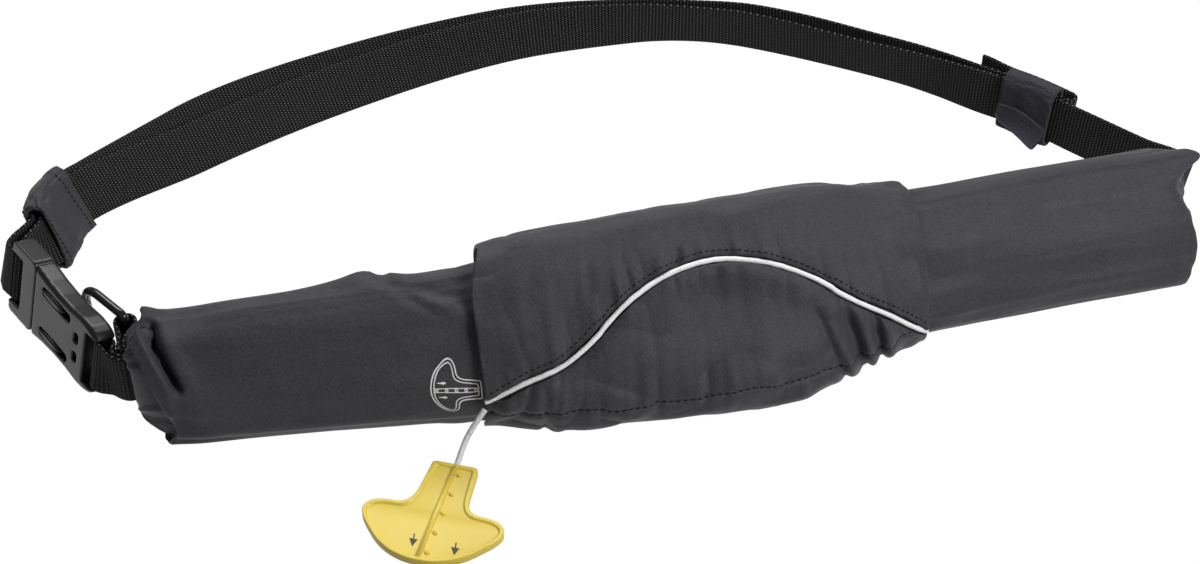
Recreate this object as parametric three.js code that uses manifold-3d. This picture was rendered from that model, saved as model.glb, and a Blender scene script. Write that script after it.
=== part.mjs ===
// Inflatable belt pack: a padded nylon pouch on a 25 mm webbing belt with a side-release buckle,
// a ring and a pull handle. Millimetres, +Z up. It lies on a flat surface with the pouch in front
// (-Y) and the belt standing on its edge behind.
import * as THREE from 'three';
import Module from 'manifold-3d';
import { mergeVertices } from 'three/addons/utils/BufferGeometryUtils.js';

const wasm = await Module();
wasm.setup();

// Pouch
const POUCH_LENGTH = 478;
const POUCH_TALL = 64;
const POUCH_THICK = 40;
const POUCH_LEAN = 35;
const POUCH_BOW = 14;
const POUCH_SQUARENESS = 2.3;
const REST_PRESS = 3.7;
const CLOTH = 1.6;
const GAP = 0.4;
const FOLD_HEIGHT = 3;
const END_REACH = 11;
const END_FOLD = 10;
const MOUTH_TALL = 33;
const MOUTH_SQUARENESS = 16;
const MOUTH_THICK = 16.4;
const BLADDER_GAP = 1.7;
const BLADDER_LENGTH = 420;

// Flap, piping and lower pocket
const FLAP_WIDTH = 208;
const FLAP_SHIFT = 3;
const FLAP_LIFT = 6;
const FLAP_CLEARANCE = 0.8;
const FLAP_HEM_TURN = -100;
const POCKET_BULGE = 16;
const POCKET_HEM_TURN = 172;
const PIPING_DIAMETER = 2.4;

// Webbing and belt loop
const WEBBING_WIDTH = 25.4;
const WEBBING_THICK = 1.8;
const LOOP_DEPTH = 227;
const LAYER_SPREAD = 12;
const KEEPER_START = 32;
const KEEPER_LENGTH = 32;
const KEEPER_WALL = 1.4;
const KEEPER_ROOM = 1.4;
const WRAP_TO_MOUTH = 95;
const WRAP_LENGTH = 28;
const WRAP_WALL = 2;
const TAB_DEPTH = 12;
const TAB_FLARE = 7;
const FREE_END = 24;

// Buckle
const BUCKLE_LENGTH = 80;
const BUCKLE_WIDTH = 38;
const BUCKLE_THICK = 11;
const BUCKLE_LEAN = 15;
const BUCKLE_HEADING = -65;
const BAR_SIZE = 3.2;
const SLOT_LENGTH = 7;
const PLUG_LENGTH = 22;
const PARTING_GAP = 0.5;
const SHELL_WALL = 2;
const BUCKLE_CLEARANCE = 0.4;

// Ring
const RING_OPENING = 26;
const RING_DEPTH = 27;
const RING_WIRE = 4.3;
const RING_CLEARANCE = 1.5;

// Pull cord and handle
const HANDLE_WIDTH = 63;
const HANDLE_HEIGHT = 57;
const HANDLE_THICK = 3;
const RIM_HEIGHT = 0.9;
const RIM_WIDTH = 2;
const STEM_WIDTH = 21;
const CORD_DIAMETER = 2.6;

const HALF = POUCH_LENGTH / 2;
const LEAN = THREE.MathUtils.degToRad(POUCH_LEAN);

// Sections of the pouch from the left end to the right: shares of its length, bow, height,
// thickness and front bulge.
const POUCH_ROWS = [
  { at: -1.0, bow: 0.0, tall: 0.94, thick: 0.85, bulge: 0 },
  { at: -0.72, bow: 0.45, tall: 1.0, thick: 1.0, bulge: 0 },
  { at: -0.44, bow: 0.92, tall: 1.06, thick: 1.05, bulge: 0 },
  { at: -0.28, bow: 1.0, tall: 1.15, thick: 1.08, bulge: 0.5 },
  { at: -0.1, bow: 1.0, tall: 1.19, thick: 1.1, bulge: 0.82 },
  { at: 0.08, bow: 0.95, tall: 1.19, thick: 1.1, bulge: 1 },
  { at: 0.24, bow: 0.75, tall: 1.17, thick: 1.08, bulge: 0.75 },
  { at: 0.44, bow: 0.42, tall: 1.05, thick: 1.03, bulge: 0 },
  { at: 0.72, bow: 0.12, tall: 1.03, thick: 1.0, bulge: 0 },
  { at: 1.0, bow: 0.0, tall: 1.03, thick: 0.95, bulge: 0 },
];

// Soft folds on the wings: place along the pouch, turn round it in degrees, spread along and
// round it, the slant of the fold and its height as a share of FOLD_HEIGHT.
const FOLD_ROWS = [
  { at: -0.61, turn: 2, length: 0.07, width: 16, slant: 40, height: 0.9 },
  { at: -0.52, turn: 30, length: 0.09, width: 9, slant: 260, height: -0.6 },
  { at: -0.93, turn: 20, length: 0.05, width: 22, slant: 0, height: -0.7 },
  { at: -0.95, turn: 120, length: 0.05, width: 30, slant: 0, height: 0.5 },
  { at: 0.93, turn: 60, length: 0.06, width: 40, slant: 0, height: -0.5 },
  { at: 0.75, turn: 20, length: 0.2, width: 12, slant: 0, height: 0.3 },
];

// How the sleeve's two ends close round the webbing, from the rim to the mouth.
// Column fold is how far the cloth's fold stands out there, as a share of END_FOLD.
const LEFT_END_ROWS = [
  { reach: 0.0, close: 0, fold: 0 },
  { reach: 0.25, close: 0.1, fold: 0.1 },
  { reach: 0.2, close: 0.26, fold: -0.9 },
  { reach: 0.55, close: 0.44, fold: 0.35 },
  { reach: 0.75, close: 0.72, fold: 0.1 },
  { reach: 1.0, close: 1, fold: 0 },
];
const RIGHT_END_ROWS = [
  { reach: 0.0, close: 0, fold: 0.75 },
  { reach: 0.15, close: 0.12, fold: 1 },
  { reach: 0.2, close: 0.4, fold: 0.3 },
  { reach: 0.45, close: 0.72, fold: 0 },
  { reach: 0.7, close: 1, fold: 0 },
];
const LEFT_FOLD = { turn: 75, width: 65 };
const RIGHT_FOLD = { turn: -28, width: 26 };

// The flap's lift off the sleeve round the pouch, as a share of FLAP_LIFT.
const LIFT_ROWS = [
  { at: -100, lift: 0.0 },
  { at: -50, lift: 0.5 },
  { at: -15, lift: 1.0 },
  { at: 15, lift: 1.0 },
  { at: 50, lift: 0.35 },
  { at: 95, lift: 0.15 },
  { at: 180, lift: 0.1 },
];

// The piped seam: place across the flap and turn round the pouch in degrees.
const PIPING_ROWS = [
  { at: -0.99, turn: 128 },
  { at: -0.84, turn: 115 },
  { at: -0.66, turn: 105 },
  { at: -0.48, turn: 90 },
  { at: -0.32, turn: 76 },
  { at: -0.14, turn: 65 },
  { at: 0.05, turn: 61 },
  { at: 0.25, turn: 68 },
  { at: 0.45, turn: 82 },
  { at: 0.65, turn: 99 },
  { at: 0.82, turn: 117 },
  { at: 0.99, turn: 145 },
];

// The belt's lower edge behind the pouch, from the buckle to the right end: shares of half the
// pouch's length, of LOOP_DEPTH and of the webbing's width, and the outward lean in degrees.
const BELT_ROWS = [
  { across: -1.16, back: 0.475, low: 0.24, lean: 22 },
  { across: -1.1, back: 0.59, low: 0.24, lean: 34 },
  { across: -0.866, back: 0.736, low: 0, lean: 42 },
  { across: -0.538, back: 0.881, low: 0, lean: 42 },
  { across: -0.172, back: 0.987, low: 0, lean: 26 },
  { across: 0.123, back: 1.0, low: 0, lean: 0 },
  { across: 0.26, back: 0.975, low: 0, lean: -9 },
  { across: 0.382, back: 0.917, low: 0, lean: -8 },
  { across: 0.595, back: 0.765, low: 0, lean: -12 },
  { across: 0.718, back: 0.656, low: 0, lean: -6 },
  { across: 0.79, back: 0.55, low: 0.12, lean: 3 },
  { across: 0.853, back: 0.475, low: 0.16, lean: 6 },
  { across: 0.94, back: 0.35, low: 0.16, lean: 8 },
  { across: 1.02, back: 0.22, low: 0.24, lean: 8 },
];

// How far the tail layer stands outside the inner layer along the belt: shares of LAYER_SPREAD
// and, beside the buckle, of the turn round its bar.
const SPREAD_ROWS = [
  { at: 0.0, spread: 0, bar: 1 },
  { at: 0.03, spread: 0, bar: 0.75 },
  { at: 0.055, spread: 0, bar: 0.4 },
  { at: 0.11, spread: 0.02, bar: 0.25 },
  { at: 0.2, spread: 0.75, bar: 0 },
  { at: 0.31, spread: 0.6, bar: 0 },
  { at: 0.45, spread: 0.2, bar: 0 },
  { at: 0.55, spread: 0.2, bar: 0 },
  { at: 0.67, spread: 0.55, bar: 0 },
  { at: 0.76, spread: 0.35, bar: 0 },
  { at: 0.84, spread: 0, bar: 0 },
  { at: 1.0, spread: 0, bar: 0 },
];

// Value of one column of a table at a place, on a smooth curve through the rows.
function read(rows, column, at, key = 'at') {
  const last = rows.length - 1;
  let i = 0;
  while (i < last - 1 && at > rows[i + 1][key]) {
    i += 1;
  }
  const slope = (k) => {
    const a = rows[Math.max(k - 1, 0)];
    const b = rows[Math.min(k + 1, last)];
    return (b[column] - a[column]) / (b[key] - a[key]);
  };
  const low = rows[i];
  const high = rows[i + 1];
  const span = high[key] - low[key];
  const t = THREE.MathUtils.clamp((at - low[key]) / span, 0, 1);
  const t2 = t * t;
  const t3 = t2 * t;
  return (2 * t3 - 3 * t2 + 1) * low[column] + (t3 - 2 * t2 + t) * span * slope(i)
    + (3 * t2 - 2 * t3) * high[column] + (t3 - t2) * span * slope(i + 1);
}

function spaced(from, to, count) {
  return Array.from({ length: count + 1 }, (_, i) => from + ((to - from) * i) / count);
}

// One closed mesh over rings of points. Open rows get end caps: a fan, or a strip between the two
// halves of a ring that runs out along one face and back along the other.
function skin(rings, cap) {
  const count = rings[0].length;
  const points = rings.flat();
  const faces = [];
  const at = (ring, i) => (ring % rings.length) * count + (i % count);
  const quad = (a, b, c, d) => faces.push([a, b, c], [a, c, d]);
  const spans = cap === 'loop' ? rings.length : rings.length - 1;
  for (let r = 0; r < spans; r += 1) {
    for (let i = 0; i < count; i += 1) {
      quad(at(r, i), at(r, i + 1), at(r + 1, i + 1), at(r + 1, i));
    }
  }
  const end = rings.length - 1;
  if (cap === 'fan') {
    for (let i = 1; i < count - 1; i += 1) {
      faces.push([at(0, 0), at(0, i + 1), at(0, i)], [at(end, 0), at(end, i), at(end, i + 1)]);
    }
  }
  if (cap === 'strip') {
    for (let i = 0; i < count / 2 - 1; i += 1) {
      const back = count - 1 - i;
      quad(at(0, i + 1), at(0, i), at(0, back), at(0, back - 1));
      quad(at(end, i), at(end, i + 1), at(end, back - 1), at(end, back));
    }
  }
  return solid(points, faces);
}

function solid(points, faces) {
  let volume = 0;
  for (const [a, b, c] of faces) {
    volume += points[a].dot(new THREE.Vector3().crossVectors(points[b], points[c]));
  }
  const turned = volume < 0 ? faces.map(([a, b, c]) => [a, c, b]) : faces;
  const geometry = new THREE.BufferGeometry();
  const places = points.flatMap((p) => p.toArray());
  geometry.setAttribute('position', new THREE.Float32BufferAttribute(places, 3));
  geometry.setIndex(turned.flat());
  geometry.computeVertexNormals();
  return geometry;
}

function toManifold(geometry) {
  const bare = geometry.clone();
  for (const name of Object.keys(bare.attributes)) {
    if (name !== 'position') {
      bare.deleteAttribute(name);
    }
  }
  const merged = mergeVertices(bare, 1e-3);
  return new wasm.Manifold(new wasm.Mesh({
    numProp: 3,
    vertProperties: new Float32Array(merged.attributes.position.array),
    triVerts: new Uint32Array(merged.index.array),
  }));
}

function fromManifold(manifold) {
  const mesh = manifold.getMesh();
  const geometry = new THREE.BufferGeometry();
  const places = new Float32Array(mesh.vertProperties);
  geometry.setAttribute('position', new THREE.BufferAttribute(places, 3));
  geometry.setIndex(new THREE.BufferAttribute(new Uint32Array(mesh.triVerts), 1));
  geometry.computeVertexNormals();
  return geometry;
}

// Pouch surface

function sectionAt(at) {
  const tall = (POUCH_TALL / 2) * read(POUCH_ROWS, 'tall', at);
  const thick = (POUCH_THICK / 2) * read(POUCH_ROWS, 'thick', at);
  const dual = POUCH_SQUARENESS / (POUCH_SQUARENESS - 1);
  const reach = ((tall * Math.cos(LEAN)) ** dual + (thick * Math.sin(LEAN)) ** dual) ** (1 / dual);
  return {
    tall,
    thick,
    y: -POUCH_BOW * read(POUCH_ROWS, 'bow', at),
    z: reach - REST_PRESS,
    bulge: POCKET_BULGE * Math.max(0, read(POUCH_ROWS, 'bulge', at)),
  };
}

function rounded(value, squareness = POUCH_SQUARENESS) {
  return Math.sign(value) * Math.abs(value) ** (2 / squareness);
}

const BULGE_START_TURN = 60;
const BULGE_FULL_TURN = 165;
const BULGE_END_TURN = 262;

function bulgeShare(turn) {
  const rise = THREE.MathUtils.smoothstep(turn, BULGE_START_TURN, BULGE_FULL_TURN);
  const fall = THREE.MathUtils.smoothstep(turn, BULGE_FULL_TURN + 20, BULGE_END_TURN);
  return rise * (1 - fall);
}

// A point of the bare section. Turn 0 is the top edge, 90 the front face, 180 the bottom edge.
function barePoint(section, turn) {
  const angle = THREE.MathUtils.degToRad(turn);
  const up = section.tall * rounded(Math.cos(angle));
  const front = section.thick * rounded(Math.sin(angle));
  const forward = section.bulge * bulgeShare((turn + 360) % 360);
  return new THREE.Vector2(
    section.y + up * Math.sin(LEAN) - front * Math.cos(LEAN) - forward,
    section.z + up * Math.cos(LEAN) + front * Math.sin(LEAN),
  );
}

function foldHeight(at, turn) {
  let height = 0;
  for (const row of FOLD_ROWS) {
    const away = (at - row.at) / row.length;
    const round = (turn - row.turn - row.slant * (at - row.at)) / row.width;
    height += row.height * Math.exp(-away * away - round * round);
  }
  return height * FOLD_HEIGHT;
}

// A point at a distance outside the pouch's outer face, no lower than its floor.
function pouchPoint(at, turn, out, floor = 0, folds = true) {
  const section = sectionAt(at);
  const before = barePoint(section, turn - 1);
  const after = barePoint(section, turn + 1);
  const here = barePoint(section, turn);
  const tangent = after.sub(before).normalize();
  const raise = out + (folds ? foldHeight(at, turn > 180 ? turn - 360 : turn) : 0);
  return new THREE.Vector3(
    at * HALF,
    here.x + tangent.y * raise,
    Math.max(here.y - tangent.x * raise, floor),
  );
}

const SLEEVE_TURNS = 20;
const SLEEVE_STATIONS = 24;

// The webbing enters each end of the sleeve through a flat mouth.
const LEFT_MOUTH = new THREE.Vector3(-HALF - END_REACH, 10, 20);
const RIGHT_MOUTH = new THREE.Vector3(HALF + 0.7 * END_REACH, 16, 23);

function mouthPoint(mouth, turn, inset) {
  const angle = THREE.MathUtils.degToRad(turn);
  return new THREE.Vector3(
    mouth.x,
    mouth.y - (MOUTH_THICK / 2 - inset) * rounded(Math.sin(angle), MOUTH_SQUARENESS),
    mouth.z + (MOUTH_TALL / 2 - inset) * rounded(Math.cos(angle), MOUTH_SQUARENESS),
  );
}

// Rings of one wall face of the sleeve, from the left mouth to the right one.
function sleeveRings(inset) {
  const turns = spaced(0, 360, SLEEVE_TURNS).slice(0, -1);
  const closing = (rows, side, mouth, fold) => rows.map((row) => turns.map((turn) => {
    const rim = pouchPoint(side, turn, -inset, inset);
    const lip = mouthPoint(mouth, turn, inset);
    const point = rim.lerp(lip, row.close);
    const signed = turn > 180 ? turn - 360 : turn;
    const share = Math.exp(-(((signed - fold.turn) / fold.width) ** 2));
    const inward = row.close < 1 ? inset : 0;
    point.x = side * (HALF + END_REACH * row.reach + END_FOLD * row.fold * share - inward);
    return point;
  }));
  const body = spaced(-1, 1, SLEEVE_STATIONS).slice(1, -1);
  return [
    ...closing(LEFT_END_ROWS, -1, LEFT_MOUTH, LEFT_FOLD).reverse(),
    ...body.map((at) => turns.map((turn) => pouchPoint(at, turn, -inset, inset))),
    ...closing(RIGHT_END_ROWS, 1, RIGHT_MOUTH, RIGHT_FOLD),
  ];
}

function pouchSleeve() {
  return skin([...sleeveRings(0), ...sleeveRings(CLOTH).reverse()], 'loop');
}

const BLADDER_TURNS = 16;
const BLADDER_STATIONS = 18;

function bladderRoll() {
  const inset = CLOTH + BLADDER_GAP;
  const reach = BLADDER_LENGTH / POUCH_LENGTH;
  const turns = spaced(0, 360, BLADDER_TURNS).slice(0, -1);
  const ring = (at, out) => turns.map((turn) => pouchPoint(at, turn, -out, inset));
  return skin(spaced(-reach, reach, BLADDER_STATIONS).map((at) => ring(at, inset)), 'fan');
}

// Flap, piping and pocket

const FLAP_COLUMNS = 22;

function flapAlong(across, turn) {
  const narrowing = THREE.MathUtils.smoothstep(60 - turn, 0, 60);
  const half = FLAP_WIDTH / 2 - (across < 0 ? 8 : 2) * narrowing;
  return (FLAP_SHIFT + across * half) / HALF;
}

function flapPoint(across, turn, inset) {
  const at = flapAlong(across, turn);
  const side = THREE.MathUtils.smoothstep(Math.abs(across), 0.6, 1);
  const lift = FLAP_LIFT * read(LIFT_ROWS, 'lift', turn) * (across > 0 ? 1 - 0.5 * side : 1);
  const out = FLAP_CLEARANCE + CLOTH + lift - inset;
  return pouchPoint(at, turn, out, inset, false);
}

const SEAM_HALF = PIPING_DIAMETER / 2 + 1.7 * GAP;

// Turn that lies a distance down the face from the seam, so that panels keep clear of the piping.
function seamTurn(across, distance) {
  const turn = read(PIPING_ROWS, 'turn', across);
  const step = flapPoint(across, turn + 1, 0).distanceTo(flapPoint(across, turn, 0));
  const slope = seamSlope(across);
  return turn + (distance * slope) / step;
}

// How much longer a distance is when measured straight down the face than square to the seam.
function seamSlope(across) {
  const ahead = flapPoint(across + 0.01, read(PIPING_ROWS, 'turn', across + 0.01), 0);
  const behind = flapPoint(across - 0.01, read(PIPING_ROWS, 'turn', across - 0.01), 0);
  const run = ahead.sub(behind);
  return run.length() / Math.max(Math.abs(run.x), 1e-6);
}

function panel(turnsAt, rowCount) {
  const rings = spaced(-1, 1, FLAP_COLUMNS).map((across) => {
    const [from, to] = turnsAt(across);
    const turns = spaced(from, to, rowCount);
    const outer = turns.map((turn) => flapPoint(across, turn, 0));
    const inner = turns.map((turn) => flapPoint(across, turn, CLOTH)).reverse();
    return [...outer, ...inner];
  });
  return skin(rings, 'strip');
}

const centreFlap = () => panel((across) => [FLAP_HEM_TURN, seamTurn(across, -SEAM_HALF)], 12);
const lowerPocket = () => panel((across) => [seamTurn(across, SEAM_HALF), POCKET_HEM_TURN], 8);

// A round tube whose sections stand at the given points.
function tube(points, radius, sides) {
  const rings = points.map((point, i) => {
    const ahead = points[Math.min(i + 1, points.length - 1)];
    const behind = points[Math.max(i - 1, 0)];
    const along = ahead.clone().sub(behind).normalize();
    const side = new THREE.Vector3(0, 0, 1).cross(along).normalize();
    const up = along.clone().cross(side);
    return spaced(0, 2 * Math.PI, sides).slice(0, -1).map((angle) => point.clone()
      .addScaledVector(side, radius * Math.cos(angle))
      .addScaledVector(up, radius * Math.sin(angle)));
  });
  return skin(rings, 'fan');
}

function flapPiping() {
  const points = spaced(-1, 1, FLAP_COLUMNS)
    .map((across) => flapPoint(across, seamTurn(across, 0), CLOTH / 2 - GAP));
  return tube(points, PIPING_DIAMETER / 2, 8);
}

// Webbing bands

// A flat band along stations, each with its centre and the direction of its width.
function bandRings(stations, width, thick, bevel) {
  return stations.map(({ point, wide }, i) => {
    const ahead = stations[Math.min(i + 1, stations.length - 1)].point;
    const behind = stations[Math.max(i - 1, 0)].point;
    const along = ahead.clone().sub(behind).normalize();
    const face = along.clone().cross(wide).normalize();
    const w = width / 2;
    const t = thick / 2;
    const corner = (a, b) => point.clone().addScaledVector(wide, a).addScaledVector(face, b);
    return [
      corner(w, t - bevel), corner(w - bevel, t), corner(bevel - w, t), corner(-w, t - bevel),
      corner(-w, bevel - t), corner(bevel - w, -t), corner(w - bevel, -t), corner(w, bevel - t),
    ];
  });
}

function band(stations) {
  const rings = bandRings(stations, WEBBING_WIDTH, WEBBING_THICK, 0);
  return skin(rings.map((ring) => ring.filter((_, i) => i % 2 === 1)), 'fan');
}

// A sleeve round one or more bands.
function bandSleeve(stations, width, thick, wall) {
  const inner = bandRings(stations, width, thick, 0.4);
  const outer = bandRings(stations, width + 2 * wall, thick + 2 * wall, wall);
  for (const ring of outer) {
    ring.forEach((point) => point.setZ(Math.max(point.z, 0)));
  }
  return skin([...outer, ...inner.reverse()], 'loop');
}

// Buckle frame: along runs from the belt end to the pouch end, wide points up.

const HEADING = THREE.MathUtils.degToRad(BUCKLE_HEADING);
const TILT = THREE.MathUtils.degToRad(BUCKLE_LEAN);
const BUCKLE_ALONG = new THREE.Vector3(Math.cos(HEADING), Math.sin(HEADING), 0);
const BUCKLE_SIDE = new THREE.Vector3(0, 0, 1).cross(BUCKLE_ALONG);
const BUCKLE_WIDE = new THREE.Vector3(0, 0, Math.cos(TILT)).addScaledVector(BUCKLE_SIDE, Math.sin(TILT));
const BUCKLE_FACE = BUCKLE_ALONG.clone().cross(BUCKLE_WIDE);
const BUCKLE_END = new THREE.Vector3(
  LEFT_MOUTH.x - 12,
  LEFT_MOUTH.y + 7,
  (BUCKLE_WIDTH / 2) * Math.cos(TILT) + (BUCKLE_THICK / 2) * Math.sin(TILT) + 0.2,
);

function onBuckle(along, wide, face) {
  return BUCKLE_END.clone()
    .addScaledVector(BUCKLE_ALONG, along - BUCKLE_LENGTH)
    .addScaledVector(BUCKLE_WIDE, wide)
    .addScaledVector(BUCKLE_FACE, face);
}

function placeOnBuckle(geometry) {
  const basis = new THREE.Matrix4().makeBasis(BUCKLE_ALONG, BUCKLE_WIDE, BUCKLE_FACE);
  basis.setPosition(onBuckle(0, 0, 0));
  return geometry.applyMatrix4(basis);
}

// A plate of one outline, centred on the buckle's middle plane.
function plate(outline, thick, bevel) {
  const settings = {
    depth: thick - 2 * bevel,
    bevelEnabled: bevel > 0,
    bevelThickness: bevel,
    bevelSize: bevel,
    bevelOffset: -bevel,
    bevelSegments: 1,
    curveSegments: 4,
  };
  return new THREE.ExtrudeGeometry(outline, settings).translate(0, 0, bevel - thick / 2);
}

function slab(x0, x1, y0, y1, thick, radius = 1) {
  const shape = new THREE.Shape();
  shape.moveTo(x0 + radius, y0);
  shape.lineTo(x1 - radius, y0);
  shape.absarc(x1 - radius, y0 + radius, radius, -Math.PI / 2, 0);
  shape.lineTo(x1, y1 - radius);
  shape.absarc(x1 - radius, y1 - radius, radius, 0, Math.PI / 2);
  shape.lineTo(x0 + radius, y1);
  shape.absarc(x0 + radius, y1 - radius, radius, Math.PI / 2, Math.PI);
  shape.lineTo(x0, y0 + radius);
  shape.absarc(x0 + radius, y0 + radius, radius, Math.PI, 1.5 * Math.PI);
  return toManifold(plate(shape, thick, 0));
}

const W = BUCKLE_WIDTH / 2;
const SLOT_HALF = WEBBING_WIDTH / 2 + 0.6;
const ARM = W - SLOT_HALF;
const SHOULDER = PLUG_LENGTH;
const BODY_START = PLUG_LENGTH + PARTING_GAP;
const BODY_END = BUCKLE_LENGTH - BAR_SIZE - SLOT_LENGTH;
const CAVITY_END = BODY_END - 6;

// Outline of the socket: full shoulders, a waist at the side windows and rounded arm ends.
function socketOutline() {
  const shape = new THREE.Shape();
  const waist = W - 3;
  const middle = (BODY_START + BODY_END) / 2;
  shape.moveTo(BODY_START, -W);
  shape.quadraticCurveTo(middle, -waist + 1, BODY_END - 4, -W + 1);
  shape.quadraticCurveTo(BUCKLE_LENGTH, -W + 1, BUCKLE_LENGTH, -SLOT_HALF + 2);
  shape.lineTo(BUCKLE_LENGTH, SLOT_HALF - 2);
  shape.quadraticCurveTo(BUCKLE_LENGTH, W - 1, BODY_END - 4, W - 1);
  shape.quadraticCurveTo(middle, waist - 1, BODY_START, W);
  shape.closePath();
  return shape;
}

const PRONG_HEAD_START = BODY_START + 12;
const PRONG_LENGTH = 34;
const PRONG_OUT = W - 5.2;
const PRONG_ARM = 3.6;
const PRONG_THICK = BUCKLE_THICK - 2 * (SHELL_WALL + BUCKLE_CLEARANCE);

function buckleSocket() {
  const cavityTo = Math.min(BODY_START + PRONG_LENGTH + 2, CAVITY_END);
  const roomHalf = PRONG_OUT + BUCKLE_CLEARANCE;
  const room = PRONG_THICK + 2 * BUCKLE_CLEARANCE;
  let body = toManifold(plate(socketOutline(), BUCKLE_THICK, 1.6));
  body = body.subtract(slab(BODY_START - 5, cavityTo, -roomHalf, roomHalf, room));
  body = body.subtract(slab(BODY_END, BODY_END + SLOT_LENGTH, -SLOT_HALF, SLOT_HALF, BUCKLE_THICK * 2));
  const barCut = BUCKLE_THICK;
  const barEnds = [BODY_END + SLOT_LENGTH - 1, BUCKLE_LENGTH + 1];
  for (const side of [-1, 1]) {
    const cut = slab(...barEnds, -SLOT_HALF, SLOT_HALF, barCut);
    body = body.subtract(cut.translate(0, 0, side * (barCut + BAR_SIZE) / 2));
    const near = side * (PRONG_OUT - 5);
    const far = side * (PRONG_OUT - 0.8);
    const low = Math.min(near, far);
    const high = Math.max(near, far);
    body = body.subtract(slab(PRONG_HEAD_START - 4, cavityTo - 2, low, high, BUCKLE_THICK * 2, 2));
    const windowLow = side * 5 - 2.5;
    body = body.subtract(slab(cavityTo + 2, cavityTo + 6, windowLow, windowLow + 5, BUCKLE_THICK * 2));
  }
  return placeOnBuckle(fromManifold(body));
}

function bucklePlug() {
  const frame = slab(0, SHOULDER, -W, W, BUCKLE_THICK - 1, 3);
  let plug = frame.subtract(slab(BAR_SIZE, BAR_SIZE + SLOT_LENGTH, -SLOT_HALF, SLOT_HALF, BUCKLE_THICK * 2));
  const barCut = BUCKLE_THICK;
  for (const side of [-1, 1]) {
    const cut = slab(-1, BAR_SIZE + 1, -SLOT_HALF, SLOT_HALF, barCut);
    plug = plug.subtract(cut.translate(0, 0, side * (barCut + BAR_SIZE) / 2));
    const root = side * (PRONG_OUT - PRONG_ARM);
    const tip = side * PRONG_OUT;
    const low = Math.min(root, tip);
    const high = Math.max(root, tip);
    plug = plug.add(slab(SHOULDER - 1, BODY_START + PRONG_LENGTH, low, high, PRONG_THICK, 1.2));
  }
  plug = plug.add(slab(SHOULDER - 1, BODY_START + PRONG_LENGTH * 0.6, -2, 2, PRONG_THICK, 1));
  return placeOnBuckle(fromManifold(plug));
}

// Belt route

const BAR_WRAP = BAR_SIZE * Math.SQRT1_2 + 1.5 * GAP + WEBBING_THICK / 2;
const LAYER_PITCH = WEBBING_THICK + 2 * GAP;
const STRAP_HALF = WEBBING_WIDTH / 2;

// Plan knots of the inner layer: out of the buckle, round the loop and into the right mouth.
// Column free is 1 where the layers stand clear of the floor, 0 where both rest on it.
function beltKnots() {
  const start = onBuckle(BAR_SIZE / 2, 0, -BAR_WRAP);
  const leave = onBuckle(BAR_SIZE / 2 - 9, 0, -BAR_WRAP);
  const flat = BUCKLE_WIDE.clone().multiplyScalar(STRAP_HALF);
  const foot = (point) => point.clone().sub(flat);
  const knots = [
    { x: foot(start).x, y: foot(start).y, low: foot(start).z, lean: -BUCKLE_LEAN, free: 1 },
    { x: foot(leave).x, y: foot(leave).y, low: foot(leave).z, lean: -BUCKLE_LEAN, free: 1 },
  ];
  for (const row of BELT_ROWS) {
    knots.push({
      x: row.across * HALF,
      y: row.back * LOOP_DEPTH,
      low: row.low * WEBBING_WIDTH,
      lean: row.lean,
      free: 0,
    });
  }
  const foot0 = RIGHT_MOUTH.z - STRAP_HALF;
  knots.push({ x: RIGHT_MOUTH.x + 9, y: RIGHT_MOUTH.y + 12, low: foot0, lean: 8, free: 0 });
  knots.push({ x: RIGHT_MOUTH.x, y: RIGHT_MOUTH.y, low: foot0, lean: 0, free: 0 });
  knots.push({ x: RIGHT_MOUTH.x - 3, y: RIGHT_MOUTH.y - 0.5, low: foot0, lean: 0, free: 0 });
  let at = 0;
  return knots.map((knot, i) => {
    if (i > 0) {
      at += Math.hypot(knot.x - knots[i - 1].x, knot.y - knots[i - 1].y);
    }
    return { at, ...knot };
  });
}

const KNOTS = beltKnots();
const BELT_LENGTH = KNOTS[KNOTS.length - 1].at;

// Centre and width direction of a band that stands a distance outside the inner layer.
function beltStation(at, outside = 0) {
  const value = (column, place) => read(KNOTS, column, place);
  const step = 0.5;
  const before = THREE.MathUtils.clamp(at - step, 0, BELT_LENGTH);
  const after = THREE.MathUtils.clamp(at + step, 0, BELT_LENGTH);
  const along = new THREE.Vector3(
    value('x', after) - value('x', before),
    value('y', after) - value('y', before),
    0,
  ).normalize();
  const outward = new THREE.Vector3(-along.y, along.x, 0);
  const lean = THREE.MathUtils.degToRad(value('lean', at));
  const wide = new THREE.Vector3(0, 0, Math.cos(lean)).addScaledVector(outward, Math.sin(lean));
  const rise = Math.cos(lean) * STRAP_HALF + Math.abs(Math.sin(lean)) * (WEBBING_THICK / 2);
  const free = THREE.MathUtils.clamp(value('free', at), 0, 1);
  const aside = outside * THREE.MathUtils.lerp(1 / Math.cos(lean), Math.cos(lean), free);
  const height = Math.max(value('low', at), 0) + rise - outside * Math.sin(lean) * free;
  const point = new THREE.Vector3(value('x', at), value('y', at), height)
    .addScaledVector(outward, aside + Math.sin(lean) * STRAP_HALF);
  return { point, wide, outward, lean };
}

function layerSpread(at) {
  const share = at / BELT_LENGTH;
  return LAYER_PITCH + LAYER_SPREAD * Math.max(0, read(SPREAD_ROWS, 'spread', share))
    + (2 * BAR_WRAP - LAYER_PITCH) * Math.max(0, read(SPREAD_ROWS, 'bar', share));
}

// Half a turn round a buckle bar, from the outer face to the inner one.
function barTurn(barAlong, side) {
  return spaced(90, -90, 6).map((degrees) => {
    const angle = THREE.MathUtils.degToRad(degrees);
    const along = barAlong + side * BAR_WRAP * Math.cos(angle);
    return { point: onBuckle(along, 0, BAR_WRAP * Math.sin(angle)), wide: BUCKLE_WIDE };
  });
}

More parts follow.
